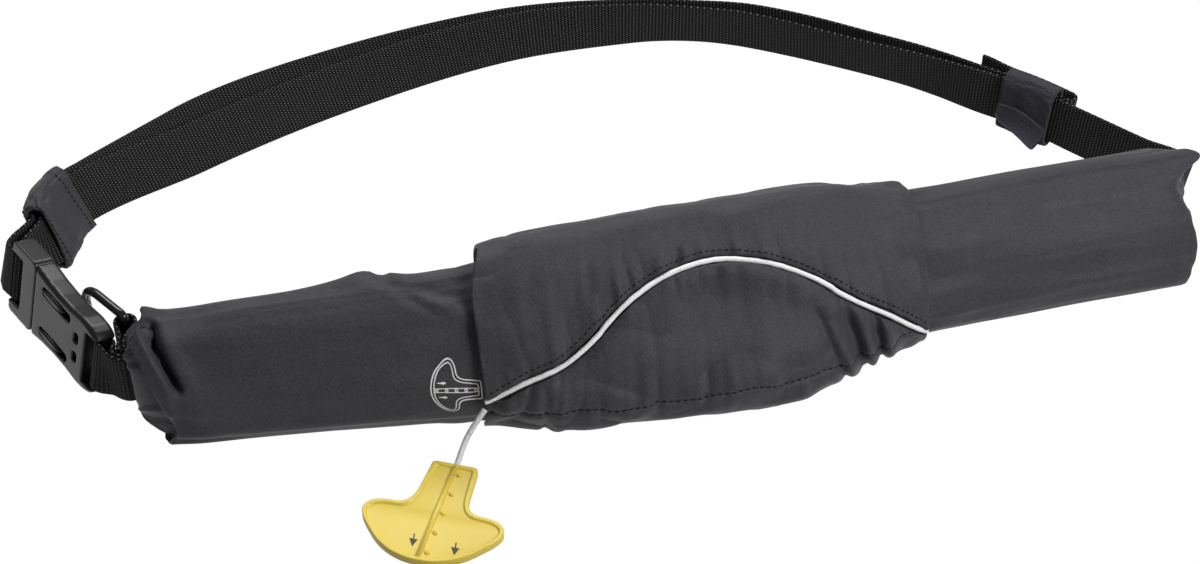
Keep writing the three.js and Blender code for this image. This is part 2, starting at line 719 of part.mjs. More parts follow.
const TAIL_SEAM = 0.5;
const STEP = 4;
const NEAR_BUCKLE = 84;
const WRAP_END = BELT_LENGTH - WRAP_TO_MOUTH;
const WRAP_START = WRAP_END - WRAP_LENGTH;
const WRAP_TURN = WRAP_END + STEP;
const BEFORE_WRAP = WRAP_START - 7 * STEP;

// Both layers have their sections at the same places: close together at the keepers.
const PLACES = [
  ...spaced(0, NEAR_BUCKLE, NEAR_BUCKLE / STEP),
  ...spaced(NEAR_BUCKLE, BEFORE_WRAP, 28).slice(1),
  ...spaced(BEFORE_WRAP, WRAP_TURN, (WRAP_TURN - BEFORE_WRAP) / STEP).slice(1),
  ...spaced(WRAP_TURN, BELT_LENGTH, 13).slice(1),
];

function beltStrap() {
  const turn = barTurn(BAR_SIZE / 2, 1).slice(0, -1);
  turn[0].point.addScaledVector(BUCKLE_ALONG, TAIL_SEAM);
  return band([...turn, ...PLACES.map((at) => beltStation(at))]);
}

const RETURN_OUT = LAYER_PITCH + WEBBING_THICK + KEEPER_ROOM + WRAP_WALL + 3 * GAP;

// The tail doubles back outside the inner layer, turns round beside the right keeper and lies
// behind it up to its free end.
function strapTail() {
  const turnAt = WRAP_TURN;
  const radius = (RETURN_OUT - LAYER_PITCH) / 2;
  const out = PLACES.filter((at) => at <= turnAt).map((at) => beltStation(at, layerSpread(at)));
  out[0].point.addScaledVector(BUCKLE_ALONG, -TAIL_SEAM);
  const turn = spaced(-60, 60, 4).map((degrees) => {
    const angle = THREE.MathUtils.degToRad(degrees);
    const at = turnAt + radius * Math.cos(angle);
    return beltStation(at, LAYER_PITCH + radius + radius * Math.sin(angle));
  });
  const last = WRAP_START - FREE_END;
  const back = spaced(turnAt, last, (turnAt - last) / STEP).map((at) => {
    const flare = THREE.MathUtils.smoothstep(WRAP_START + 4 - at, 0, FREE_END + 4);
    return beltStation(at, Math.max(RETURN_OUT, layerSpread(at) + LAYER_PITCH) + 5 * flare);
  });
  return band([...out, ...turn, ...back]);
}

function keeper(from, to, wall) {
  const places = spaced(from, to, (to - from) / STEP);
  const stations = places.map((at) => beltStation(at, layerSpread(at) / 2));
  const layers = Math.max(...places.map(layerSpread));
  const steepest = Math.max(...stations.map(({ lean }) => Math.abs(Math.tan(lean))));
  const width = WEBBING_WIDTH + layers * steepest + 2 * KEEPER_ROOM;
  return bandSleeve(stations, width, layers + WEBBING_THICK + 2 * KEEPER_ROOM, wall);
}

const sleeveKeeper = () => keeper(KEEPER_START, KEEPER_START + KEEPER_LENGTH, KEEPER_WALL);
const wrapKeeper = () => keeper(WRAP_START, WRAP_END, WRAP_WALL);

// The wrap's loose end peels off its inner face and flares away towards the buckle's far side.
function keeperTab() {
  const rings = spaced(0, 1, 6).map((share) => {
    const at = WRAP_START + share * WRAP_LENGTH;
    const { point, wide, outward } = beltStation(at, 0);
    const face = WEBBING_THICK / 2 + KEEPER_ROOM + WRAP_WALL + 2.5 * GAP;
    const flare = TAB_FLARE * (0.25 + 0.75 * share);
    const profile = (thick) => spaced(0, 1, 5).map((t) => {
      const bend = (t * Math.PI) / 2;
      return point.clone()
        .addScaledVector(wide, -TAB_DEPTH * Math.sin(bend))
        .addScaledVector(outward, -face - thick - flare * (1 - Math.cos(bend)));
    });
    return [...profile(0), ...profile(KEEPER_WALL).reverse()];
  });
  return skin(rings, 'strip');
}

// Tabs at the left mouth

const TAB_INSIDE = 2;

// Doubled webbing: out of the left mouth, round a bar and back beside itself.
function tabLoop(bar, heading, wide, mouthOffset, wrap) {
  const to = LEFT_MOUTH.clone().add(new THREE.Vector3(-TAB_INSIDE, mouthOffset, 0));
  const pull = bar.distanceTo(to) * 0.4;
  const curve = new THREE.CubicBezierCurve3(
    bar,
    bar.clone().addScaledVector(heading, pull),
    to.clone().add(new THREE.Vector3(-pull / 2, 0, 0)),
    to,
  );
  const across = heading.clone().cross(wide).normalize();
  const layer = (sign) => {
    const run = spaced(0, 1, 8).map((t) => {
      const upright = wide.clone().lerp(UP, THREE.MathUtils.smoothstep(t, 0.05, 0.45)).normalize();
      const normal = curve.getTangent(t).cross(upright).normalize();
      const spread = THREE.MathUtils.smoothstep(t, 0, 0.45);
      const offset = THREE.MathUtils.lerp(wrap, TAB_PITCH / 2, spread);
      return { point: curve.getPoint(t).addScaledVector(normal, sign * offset), wide: upright };
    });
    const inside = run[run.length - 1].point.clone();
    inside.x = LEFT_MOUTH.x + TAB_INSIDE / 2;
    return [...run, { point: inside, wide: UP }];
  };
  const turn = spaced(90, -90, 6).slice(1, -1).map((degrees) => {
    const angle = THREE.MathUtils.degToRad(degrees);
    const point = bar.clone()
      .addScaledVector(heading, -wrap * Math.cos(angle))
      .addScaledVector(across, wrap * Math.sin(angle));
    return { point, wide };
  });
  return band([...layer(1).reverse(), ...turn, ...layer(-1)]);
}

const TAB_PITCH = WEBBING_THICK + 1.5 * GAP;
const TAB_ASIDE = 1.35 * TAB_PITCH;
const UP = new THREE.Vector3(0, 0, 1);

function leftTab() {
  const bar = onBuckle(BUCKLE_LENGTH - BAR_SIZE / 2, 0, 0);
  return tabLoop(bar, BUCKLE_ALONG, BUCKLE_WIDE, -TAB_ASIDE, BAR_WRAP);
}

// Ring frame: the straight bar stands upright behind the mouth.
const RING_HEADING = THREE.MathUtils.degToRad(122);
const TAB_HEADING = THREE.MathUtils.degToRad(-95);
const RING_AWAY = new THREE.Vector3(Math.cos(RING_HEADING), Math.sin(RING_HEADING), 0);
const RING_BAR = new THREE.Vector3(LEFT_MOUTH.x - 0.2, LEFT_MOUTH.y + 21, LEFT_MOUTH.z);

function ringTab() {
  const wrap = RING_WIRE / 2 + RING_CLEARANCE + WEBBING_THICK / 2;
  const heading = new THREE.Vector3(Math.cos(TAB_HEADING), Math.sin(TAB_HEADING), 0);
  return tabLoop(RING_BAR, heading, UP, TAB_ASIDE, wrap);
}

// A closed wire loop: straight bar, two legs and a round bow.
function dRing() {
  const half = (RING_OPENING + RING_WIRE) / 2;
  const depth = RING_DEPTH + RING_WIRE;
  const corner = RING_WIRE * 0.8;
  const place = (away, up) => RING_BAR.clone().addScaledVector(RING_AWAY, away).addScaledVector(UP, up);
  const path = [];
  const arc = (away, up, radius, from, to, count) => spaced(from, to, count).forEach((degrees) => {
    const angle = THREE.MathUtils.degToRad(degrees);
    path.push(place(away + radius * Math.cos(angle), up + radius * Math.sin(angle)));
  });
  const bow = half * 0.75;
  arc(depth - bow, half - bow, bow, 90, 0, 5);
  arc(depth - bow, bow - half, bow, 0, -90, 5);
  arc(corner, corner - half, corner, -90, -180, 3);
  arc(corner, half - corner, corner, 180, 90, 3);
  const side = new THREE.Vector3().crossVectors(UP, RING_AWAY);
  const rings = path.map((point, i) => {
    const ahead = path[(i + 1) % path.length];
    const behind = path[(i + path.length - 1) % path.length];
    const along = ahead.clone().sub(behind).normalize();
    const radial = new THREE.Vector3().crossVectors(along, side).normalize();
    return spaced(0, 2 * Math.PI, 8).slice(0, -1).map((angle) => point.clone()
      .addScaledVector(radial, (RING_WIRE / 2) * Math.cos(angle))
      .addScaledVector(side, (RING_WIRE / 2) * Math.sin(angle)));
  });
  return skin(rings, 'loop');
}

// Pull cord and handle

// The cord's route from the end of the piping down to the handle, chosen by hand.
const CORD_POINTS = [
  [-101.6, -45.6, 17.4], [-103.2, -46.2, 15.6], [-104.6, -46.8, 14.0], [-106.0, -47.4, 12.3],
  [-107.4, -47.9, 10.6], [-108.7, -48.5, 9.0], [-109.9, -49.3, 7.5], [-111.1, -50.3, 6.1],
  [-112.3, -51.6, 4.8], [-113.4, -53.2, 3.8], [-114.5, -55.0, 3.0], [-115.6, -57.1, 2.4],
  [-116.7, -59.3, 2.1], [-117.8, -61.6, 2.0],
].map((xyz) => new THREE.Vector3(...xyz));
const HANDLE_HEADING = -117.5;

function pullCord() {
  return tube(CORD_POINTS, CORD_DIAMETER / 2, 8);
}

// Handle outline with the stem's top edge on v = 0, grown inwards by an inset.
function handleOutline(inset) {
  const w = HANDLE_WIDTH / 2 - inset;
  const h = HANDLE_HEIGHT - inset;
  const stem = STEM_WIDTH / 2 - inset;
  const shoulder = HANDLE_HEIGHT * 0.47 + inset;
  const tip = HANDLE_HEIGHT * 0.6;
  const shape = new THREE.Shape();
  shape.moveTo(-stem, inset);
  shape.lineTo(stem, inset);
  shape.lineTo(stem + 1, HANDLE_HEIGHT * 0.3);
  shape.quadraticCurveTo(stem + 2, shoulder, w * 0.62, shoulder);
  shape.quadraticCurveTo(w, shoulder, w, tip);
  shape.quadraticCurveTo(w * 0.98, tip + 4, w * 0.8, tip + 10);
  shape.quadraticCurveTo(w * 0.48, h, 0, h);
  shape.quadraticCurveTo(-w * 0.48, h, -w * 0.8, tip + 10);
  shape.quadraticCurveTo(-w * 0.98, tip + 4, -w, tip);
  shape.quadraticCurveTo(-w, shoulder, -w * 0.62, shoulder);
  shape.quadraticCurveTo(-stem - 2, shoulder, -stem - 1, HANDLE_HEIGHT * 0.3);
  shape.closePath();
  return shape;
}

const BOSS_COUNT = 5;

function pullHandle() {
  const segments = 4;
  const rise = HANDLE_THICK + RIM_HEIGHT;
  const raise = (shape, depth) => toManifold(
    new THREE.ExtrudeGeometry(shape, { depth, bevelEnabled: false, curveSegments: segments }),
  );
  let handle = raise(handleOutline(0), rise);
  handle = handle.subtract(raise(handleOutline(RIM_WIDTH), rise).translate(0, 0, HANDLE_THICK));
  const rib = new THREE.BoxGeometry(RIM_WIDTH, HANDLE_HEIGHT - RIM_WIDTH, rise);
  handle = handle.add(toManifold(rib.translate(0, HANDLE_HEIGHT / 2, rise / 2)));
  for (let i = 0; i < BOSS_COUNT; i += 1) {
    const v = (HANDLE_HEIGHT * (i + 0.5)) / BOSS_COUNT;
    const boss = new THREE.CylinderGeometry(1, 1, rise, 8).rotateX(Math.PI / 2);
    handle = handle.add(toManifold(boss.translate(-3 * RIM_WIDTH / 2, v, rise / 2)));
  }
  const geometry = fromManifold(handle);
  const last = CORD_POINTS[CORD_POINTS.length - 1];
  const heading = THREE.MathUtils.degToRad(HANDLE_HEADING);
  const down = new THREE.Vector3(Math.cos(heading), Math.sin(heading), 0);
  const basis = new THREE.Matrix4().makeBasis(down.clone().cross(UP), down, UP);
  basis.setPosition(last.x + down.x * GAP, last.y + down.y * GAP, 0);
  return geometry.applyMatrix4(basis);
}

const CLOTH_LOOK = { color: 0x2c2c31, roughness: 0.62, metalness: 0 };
const WEBBING_LOOK = { color: 0x1b1c1b, roughness: 0.85, metalness: 0 };
const PLASTIC_LOOK = { color: 0x17181a, roughness: 0.38, metalness: 0 };
const LOOP_LOOK = { color: 0x26272b, roughness: 0.95, metalness: 0 };

const pieces = [
  ['pouch_sleeve', pouchSleeve, CLOTH_LOOK],
  ['bladder_roll', bladderRoll, { color: 0x3a3a3a, roughness: 0.6, metalness: 0 }],
  ['centre_flap', centreFlap, CLOTH_LOOK],
  ['lower_pocket', lowerPocket, CLOTH_LOOK],
  ['flap_piping', flapPiping, { color: 0xe9e9e6, roughness: 0.6, metalness: 0 }],
  ['buckle_socket', buckleSocket, PLASTIC_LOOK],
  ['buckle_plug', bucklePlug, PLASTIC_LOOK],
  ['left_tab', leftTab, WEBBING_LOOK],
  ['ring_tab', ringTab, WEBBING_LOOK],
  ['d_ring', dRing, PLASTIC_LOOK],
  ['belt_strap', beltStrap, WEBBING_LOOK],
  ['strap_tail', strapTail, WEBBING_LOOK],
  ['sleeve_keeper', sleeveKeeper, CLOTH_LOOK],
  ['wrap_keeper', wrapKeeper, LOOP_LOOK],
  ['keeper_tab', keeperTab, LOOP_LOOK],
  ['pull_cord', pullCord, { color: 0xd9dadb, roughness: 0.8, metalness: 0 }],
  ['pull_handle', pullHandle, { color: 0xf7d94f, roughness: 0.45, metalness: 0 }],
];

const group = new THREE.Group();
const overall = new THREE.Box3();
for (const [name, make, look] of pieces) {
  const mesh = new THREE.Mesh(make(), new THREE.MeshStandardMaterial(look));
  mesh.name = name;
  group.add(mesh);
  if (name !== 'pull_cord') {
    overall.expandByObject(mesh);
  }
}

// The origin is the middle of the whole pack's footprint, on the surface that it lies on.
const middle = overall.getCenter(new THREE.Vector3());
group.position.set(-middle.x, -middle.y, -overall.min.z);

export default group;
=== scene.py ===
# Inflatable belt pack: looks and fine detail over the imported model. Tables and shapes are in
# millimetres in the pouch's own frame, and SHIFT carries them to the row frame.
import math

import bpy
import numpy as np
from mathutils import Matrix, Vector


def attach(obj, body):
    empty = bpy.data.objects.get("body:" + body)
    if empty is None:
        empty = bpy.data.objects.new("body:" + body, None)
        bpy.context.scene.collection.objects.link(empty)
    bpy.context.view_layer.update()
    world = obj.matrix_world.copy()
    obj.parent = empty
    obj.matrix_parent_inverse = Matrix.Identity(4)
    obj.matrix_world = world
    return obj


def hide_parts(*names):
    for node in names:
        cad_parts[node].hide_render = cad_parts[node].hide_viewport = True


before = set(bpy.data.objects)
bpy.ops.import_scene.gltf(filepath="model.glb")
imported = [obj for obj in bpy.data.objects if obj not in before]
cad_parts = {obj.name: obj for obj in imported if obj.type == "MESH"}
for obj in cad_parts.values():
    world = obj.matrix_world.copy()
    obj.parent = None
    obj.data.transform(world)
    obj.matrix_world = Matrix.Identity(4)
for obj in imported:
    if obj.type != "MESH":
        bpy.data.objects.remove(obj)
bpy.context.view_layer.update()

SHIFT = np.array([23.393, -62.864, 0.0])

POUCH_LENGTH = 478.0
POUCH_TALL = 64.0
POUCH_THICK = 40.0
POUCH_LEAN = math.radians(35)
POUCH_BOW = 14.0
SQUARENESS = 2.3
REST_PRESS = 3.7
CLOTH = 1.6
GAP = 0.4
FOLD_HEIGHT = 3.0
END_REACH = 11.0
END_FOLD = 10.0
MOUTH_TALL = 33.0
MOUTH_THICK = 16.4
MOUTH_SQUARENESS = 16.0
FLAP_WIDTH = 208.0
FLAP_SHIFT = 3.0
FLAP_LIFT = 6.0
FLAP_CLEARANCE = 0.8
FLAP_HEM_TURN = -100.0
POCKET_BULGE = 16.0
POCKET_HEM_TURN = 172.0
PIPING_DIAMETER = 2.4
WEBBING_WIDTH = 25.4
WEBBING_THICK = 1.8
LOOP_DEPTH = 227.0
LAYER_SPREAD = 12.0
KEEPER_START = 32.0
KEEPER_LENGTH = 32.0
KEEPER_WALL = 1.4
KEEPER_ROOM = 1.4
WRAP_TO_MOUTH = 95.0
WRAP_LENGTH = 28.0
WRAP_WALL = 2.0
TAB_DEPTH = 12.0
TAB_FLARE = 7.0
FREE_END = 24.0
BUCKLE_LENGTH = 80.0
BUCKLE_WIDTH = 38.0
BUCKLE_THICK = 11.0
BUCKLE_LEAN = math.radians(15)
BUCKLE_HEADING = math.radians(-65)
BAR_SIZE = 3.2
RING_OPENING = 26.0
RING_DEPTH = 27.0
RING_WIRE = 4.3
RING_CLEARANCE = 1.5
HANDLE_WIDTH = 63.0
HANDLE_HEIGHT = 57.0
HANDLE_THICK = 3.0
RIM_HEIGHT = 0.9
RIM_WIDTH = 2.0
STEM_WIDTH = 21.0
CORD_DIAMETER = 2.6
HANDLE_HEADING = math.radians(-117.5)

HALF = POUCH_LENGTH / 2
SEAM_HALF = PIPING_DIAMETER / 2 + 1.7 * GAP
LEFT_MOUTH = np.array([-HALF - END_REACH, 10.0, 20.0])
RIGHT_MOUTH = np.array([HALF + 0.7 * END_REACH, 16.0, 23.0])


def table(columns, *rows):
    """Rows of a table as one array for each named column."""
    return {name: np.array([row[i] for row in rows], float) for i, name in enumerate(columns)}


POUCH_ROWS = table(
    ("at", "bow", "tall", "thick", "bulge"),
    (-1.0, 0.0, 0.94, 0.85, 0),
    (-0.72, 0.45, 1.0, 1.0, 0),
    (-0.44, 0.92, 1.06, 1.05, 0),
    (-0.28, 1.0, 1.15, 1.08, 0.5),
    (-0.1, 1.0, 1.19, 1.1, 0.82),
    (0.08, 0.95, 1.19, 1.1, 1),
    (0.24, 0.75, 1.17, 1.08, 0.75),
    (0.44, 0.42, 1.05, 1.03, 0),
    (0.72, 0.12, 1.03, 1.0, 0),
    (1.0, 0.0, 1.03, 0.95, 0),
)
# Place, turn, length, width, slant and height of each fold of the wings.
FOLD_ROWS = (
    (-0.61, 2, 0.07, 16, 40, 0.9),
    (-0.52, 30, 0.09, 9, 260, -0.6),
    (-0.93, 20, 0.05, 22, 0, -0.7),
    (-0.95, 120, 0.05, 30, 0, 0.5),
    (0.93, 60, 0.06, 40, 0, -0.5),
    (0.75, 20, 0.2, 12, 0, 0.3),
)
LEFT_END_ROWS = table(
    ("at", "reach", "close", "fold"),
    (0, 0.0, 0, 0),
    (1, 0.1, 0.07, 0.0),
    (2, 0.0, 0.2, -0.5),
    (3, 0.35, 0.4, 0.0),
    (4, 0.8, 0.7, 0.15),
    (5, 1.0, 1, 0),
)
RIGHT_END_ROWS = table(
    ("at", "reach", "close", "fold"),
    (0, 0.0, 0, 0.6),
    (1, 0.15, 0.12, 0.8),
    (2, 0.2, 0.4, 0.3),
    (3, 0.45, 0.72, 0),
    (4, 0.7, 1, 0),
)
LEFT_FOLD = {"turn": 75, "width": 65}
RIGHT_FOLD = {"turn": 31, "width": 16}
LIFT_ROWS = table(
    ("at", "lift"),
    (-100, 0.0), (-50, 0.5), (-15, 1.0), (15, 1.0), (50, 0.35), (95, 0.15), (180, 0.1),
)
PIPING_ROWS = table(
    ("at", "turn"),
    (-0.99, 128), (-0.84, 115), (-0.66, 105), (-0.48, 90), (-0.32, 76), (-0.14, 65),
    (0.05, 61), (0.25, 68), (0.45, 82), (0.65, 99), (0.82, 117), (0.99, 145),
)
# The belt's lower edge: shares of half the pouch's length, of LOOP_DEPTH and of the webbing's
# width, and the outward lean in degrees.
BELT_ROWS = (
    (-1.16, 0.475, 0.24, 22), (-1.1, 0.59, 0.24, 34), (-0.866, 0.736, 0, 42),
    (-0.538, 0.881, 0, 42), (-0.172, 0.987, 0, 26), (0.123, 1.0, 0, 0),
    (0.26, 0.975, 0, -9), (0.382, 0.917, 0, -8), (0.595, 0.765, 0, -12),
    (0.718, 0.656, 0, -6), (0.79, 0.55, 0.12, 3), (0.853, 0.475, 0.16, 6),
    (0.94, 0.35, 0.16, 8), (1.02, 0.22, 0.24, 8),
)
SPREAD_ROWS = table(
    ("at", "spread", "bar"),
    (0.0, 0, 1), (0.03, 0, 0.75), (0.055, 0, 0.4), (0.11, 0.02, 0.25), (0.2, 0.75, 0),
    (0.31, 0.6, 0), (0.45, 0.2, 0), (0.55, 0.2, 0), (0.67, 0.55, 0), (0.76, 0.35, 0),
    (0.84, 0, 0), (1.0, 0, 0),
)


# Reading tables and shaping numbers

def read(rows, column, at):
    """Values of one column on a smooth curve through the rows."""
    xs, ys = rows["at"], rows[column]
    at = np.asarray(at, float)
    last = len(xs) - 1
    up = np.minimum(np.arange(last + 1) + 1, last)
    down = np.maximum(np.arange(last + 1) - 1, 0)
    slope = (ys[up] - ys[down]) / (xs[up] - xs[down])
    i = np.searchsorted(xs[1:-1], at, side="left")
    span = xs[i + 1] - xs[i]
    t = np.clip((at - xs[i]) / span, 0, 1)
    t2 = t * t
    t3 = t2 * t
    return ((2 * t3 - 3 * t2 + 1) * ys[i] + (t3 - 2 * t2 + t) * span * slope[i]
            + (3 * t2 - 2 * t3) * ys[i + 1] + (t3 - t2) * span * slope[i + 1])


def smoothstep(x, low, high):
    t = np.clip((x - low) / (high - low), 0, 1)
    return t * t * (3 - 2 * t)


def bump(x, middle, width):
    return np.exp(-((x - middle) / width) ** 2)


def window(x, start, full, fade, end):
    """Rises from 0 to 1 over one stretch and falls back over another."""
    return smoothstep(x, start, full) * (1 - smoothstep(x, fade, end))


def signed_turn(turn):
    """The same turn between -180 and 180 degrees."""
    return np.where(turn > 180, turn - 360, turn)


def circle(count):
    return np.linspace(0, 2 * math.pi, count, endpoint=False)


def noise(x, y, seed):
    """Smooth noise from -1 to 1 with one cell a unit."""
    x, y = np.broadcast_arrays(np.asarray(x, float), np.asarray(y, float))
    size = 64
    values = np.random.RandomState(seed).uniform(-1, 1, (size, size))
    i = np.floor(x).astype(int)
    j = np.floor(y).astype(int)
    s, t = (v * v * v * (v * (6 * v - 15) + 10) for v in (x - i, y - j))
    a = values[i % size, j % size]
    b = values[(i + 1) % size, j % size]
    c = values[i % size, (j + 1) % size]
    d = values[(i + 1) % size, (j + 1) % size]
    return (a * (1 - s) + b * s) * (1 - t) + (c * (1 - s) + d * s) * t


def creases(x, y, seed):
    """Noise with sharp valleys, as in puckered cloth."""
    return 1.6 * np.abs(noise(x, y, seed)) ** 0.7 - 0.75


def rounded(value, squareness=SQUARENESS):
    return np.sign(value) * np.abs(value) ** (2 / squareness)


def unit(v):
    return v / np.maximum(np.linalg.norm(v, axis=-1, keepdims=True), 1e-9)


def distances(points):
    """How far along a line each of its points is."""
    return np.concatenate([[0], np.cumsum(np.linalg.norm(np.diff(points, axis=0), axis=1))])


def on_line(at, run, points):
    """Points at the given distances along a line."""
    return np.stack([np.interp(at, run, points[:, k]) for k in range(3)], -1)


# Pouch surface

def bare_point(at, turn):
    tall = POUCH_TALL / 2 * read(POUCH_ROWS, "tall", at)
    thick = POUCH_THICK / 2 * read(POUCH_ROWS, "thick", at)
    dual = SQUARENESS / (SQUARENESS - 1)
    cos, sin = math.cos(POUCH_LEAN), math.sin(POUCH_LEAN)
    reach = ((tall * cos) ** dual + (thick * sin) ** dual) ** (1 / dual)
    bulge = POCKET_BULGE * np.maximum(0, read(POUCH_ROWS, "bulge", at))
    angle = np.radians(turn)
    up = tall * rounded(np.cos(angle))
    front = thick * rounded(np.sin(angle))
    around = np.mod(turn + 360.0, 360.0)
    share = window(around, 60, 165, 185, 262)
    y = -POUCH_BOW * read(POUCH_ROWS, "bow", at) + up * sin - front * cos - bulge * share
    return y, reach - REST_PRESS + up * cos + front * sin


def fold_height(at, turn):
    height = 0.0
    for row_at, row_turn, length, width, slant, rise in FOLD_ROWS:
        away = (at - row_at) / length
        around = (turn - row_turn - slant * (at - row_at)) / width
        height = height + rise * np.exp(-away * away - around * around)
    return height * FOLD_HEIGHT


def pouch_point(at, turn, out, floor=0.0, folds=True):
    at, turn, out = np.broadcast_arrays(*(np.asarray(v, float) for v in (at, turn, out)))
    y0, z0 = bare_point(at, turn - 1)
    y1, z1 = bare_point(at, turn + 1)
    y, z = bare_point(at, turn)
    size = np.hypot(y1 - y0, z1 - z0)
    ty, tz = (y1 - y0) / size, (z1 - z0) / size
    raised = out + (fold_height(at, signed_turn(turn)) if folds else 0)
    return np.stack([at * HALF, y + tz * raised, np.maximum(z - ty * raised, floor)], -1)


def mouth_point(mouth, turn, inset):
    angle = np.radians(turn)
    across = rounded(np.sin(angle), MOUTH_SQUARENESS)
    up = rounded(np.cos(angle), MOUTH_SQUARENESS)
    return np.stack([
        np.full_like(angle, mouth[0]),
        mouth[1] - (MOUTH_THICK / 2 - inset) * across,
        mouth[2] + (MOUTH_TALL / 2 - inset) * up,
    ], -1)


def flap_along(across, turn):
    narrowing = smoothstep(60 - turn, 0, 60)
    half = FLAP_WIDTH / 2 - np.where(across < 0, 8.0, 2.0) * narrowing
    return (FLAP_SHIFT + across * half) / HALF


def flap_point(across, turn, inset, extra=0.0):
    across, turn = np.broadcast_arrays(np.asarray(across, float), np.asarray(turn, float))
    side = smoothstep(np.abs(across), 0.6, 1)
    lift = FLAP_LIFT * read(LIFT_ROWS, "lift", turn) * np.where(across > 0, 1 - 0.5 * side, 1)
    out = FLAP_CLEARANCE + CLOTH + lift - inset + extra
    return pouch_point(flap_along(across, turn), turn, out, inset, False)


def seam_turn(across, distance):
    """Turn that lies a distance down the face from the piped seam."""
    turn = read(PIPING_ROWS, "turn", across)
    step = np.linalg.norm(flap_point(across, turn + 1, 0) - flap_point(across, turn, 0), axis=-1)
    ahead, behind = (flap_point(near, read(PIPING_ROWS, "turn", near), 0)
                     for near in (across + 0.01, across - 0.01))
    run = ahead - behind
    slope = np.linalg.norm(run, axis=-1) / np.maximum(np.abs(run[..., 0]), 1e-6)
    return turn + distance * slope / step


# Meshes

def place(points):
    return (np.asarray(points) + SHIFT) / 1000


def make_mesh(name, points, faces, uvs=None, body="pack"):
    """A smooth-shaded piece. uvs has one pair for each point, in metres."""
    mesh = bpy.data.meshes.new(name)
    mesh.from_pydata(place(points).tolist(), [], faces)
    if uvs is not None:
        layer = mesh.uv_layers.new(name="UVMap")
        corners = np.empty(len(mesh.loops), int)
        mesh.loops.foreach_get("vertex_index", corners)
        layer.data.foreach_set("uv", np.asarray(uvs, float)[corners].ravel())
    mesh.polygons.foreach_set("use_smooth", [True] * len(mesh.polygons))
    mesh.validate()
    mesh.update()
    piece = bpy.data.objects.new(name, mesh)
    bpy.context.scene.collection.objects.link(piece)
    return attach(piece, body)


def grid_faces(rows, columns, start=0, wrap=False, flip=False):
    """Quads over a grid of points that is stored row by row."""
    r = np.arange(rows - 1)[:, None]
    c = np.arange(columns if wrap else columns - 1)[None, :]
    a = start + r * columns + c
    b = start + r * columns + (c + 1) % columns
    quads = np.stack([a, b, b + columns, a + columns], -1).reshape(-1, 4)
    return quads[:, ::-1].tolist() if flip else quads.tolist()


def capped_faces(rows, columns, start=0):
    """Faces of a closed tube of points that is stored ring by ring."""
    faces = grid_faces(rows, columns, start, True)
    faces.append([start + i for i in range(columns)][::-1])
    faces.append([start + (rows - 1) * columns + i for i in range(columns)])
    return faces


def arc_lengths(grid, axis):
    """Distance along one direction of a grid of points, in metres."""
    steps = np.linalg.norm(np.diff(grid, axis=axis), axis=-1) / 1000
    first = np.zeros_like(np.take(steps, [0], axis=axis))
    return np.concatenate([first, np.cumsum(steps, axis=axis)], axis=axis)


def shell(name, outer, inner, wrap):
    """A closed wall between two grids of points; wrap joins each row into a ring."""
    rows, columns = outer.shape[:2]
    count = rows * columns
    faces = grid_faces(rows, columns, 0, wrap) + grid_faces(rows, columns, count, wrap, True)
    spots = np.arange(count).reshape(rows, columns)
    borders = [(spots[0], True), (spots[-1], False)]
    if wrap:
        borders = [(np.append(line, line[0]), flip) for line, flip in borders]
    else:
        borders += [(spots[:, 0], False), (spots[:, -1], True)]
    for line, flip in borders:
        for a, b in zip(line[:-1].tolist(), line[1:].tolist()):
            quad = [a, b, b + count, a + count]
            faces.append(quad[::-1] if flip else quad)
    points = np.concatenate([outer.reshape(-1, 3), inner.reshape(-1, 3)])
    uv = np.stack([arc_lengths(outer, 0), arc_lengths(outer, 1)], -1).reshape(-1, 2)
    return face_out(make_mesh(name, points, faces, np.concatenate([uv, uv])))


def face_out(piece):
    """Turns a closed piece's faces outwards."""
    mesh = piece.data
    places = np.empty(len(mesh.vertices) * 3)
    mesh.vertices.foreach_get("co", places)
    mesh.calc_loop_triangles()
    corners = np.empty(len(mesh.loop_triangles) * 3, int)
    mesh.loop_triangles.foreach_get("vertices", corners)
    a, b, c = places.reshape(-1, 3)[corners.reshape(-1, 3).T]
    if np.einsum("ij,ij->i", a, np.cross(b, c)).sum() < 0:
        mesh.flip_normals()
    return piece


def tube(name, points, radius, sides, body="pack", closed=False, bumps=None):
    """A round tube along a line of points; bumps(along, around) changes its radius."""
    points = np.asarray(points, float)
    if closed:
        along = unit(np.roll(points, -1, 0) - np.roll(points, 1, 0))
    else:
        along = unit(np.gradient(points, axis=0))
    frames = []
    side = unit(np.cross(along[0], [0.3, 0.2, 0.9]))
    for direction in along:
        side = unit(side - direction * side.dot(direction))
        frames.append((side, np.cross(direction, side)))
    angle = circle(sides)
    length = distances(points)
    rings = []
    for point, (u, v), run in zip(points, frames, length):
        size = radius if bumps is None else radius + bumps(run, angle)
        rings.append(point + np.outer(np.cos(angle) * size, u) + np.outer(np.sin(angle) * size, v))
    grid = np.stack(rings).reshape(-1, 3)
    rows = len(rings)
    if closed:
        faces = [[i % len(grid) for i in face] for face in grid_faces(rows + 1, sides, 0, True)]
        return face_out(make_mesh(name, grid, faces, None, body))
    uv = np.stack(np.broadcast_arrays(length[:, None] / 1000, angle[None, :] * radius / 1000), -1)
    return face_out(make_mesh(name, grid, capped_faces(rows, sides), uv.reshape(-1, 2), body))


# Place along a thread and its thickness there, as shares.
THREAD_ROWS = ((0.0, 0.35), (0.2, 0.9), (0.5, 1.0), (0.8, 0.9), (1.0, 0.35))
THREAD_SIDES = 6


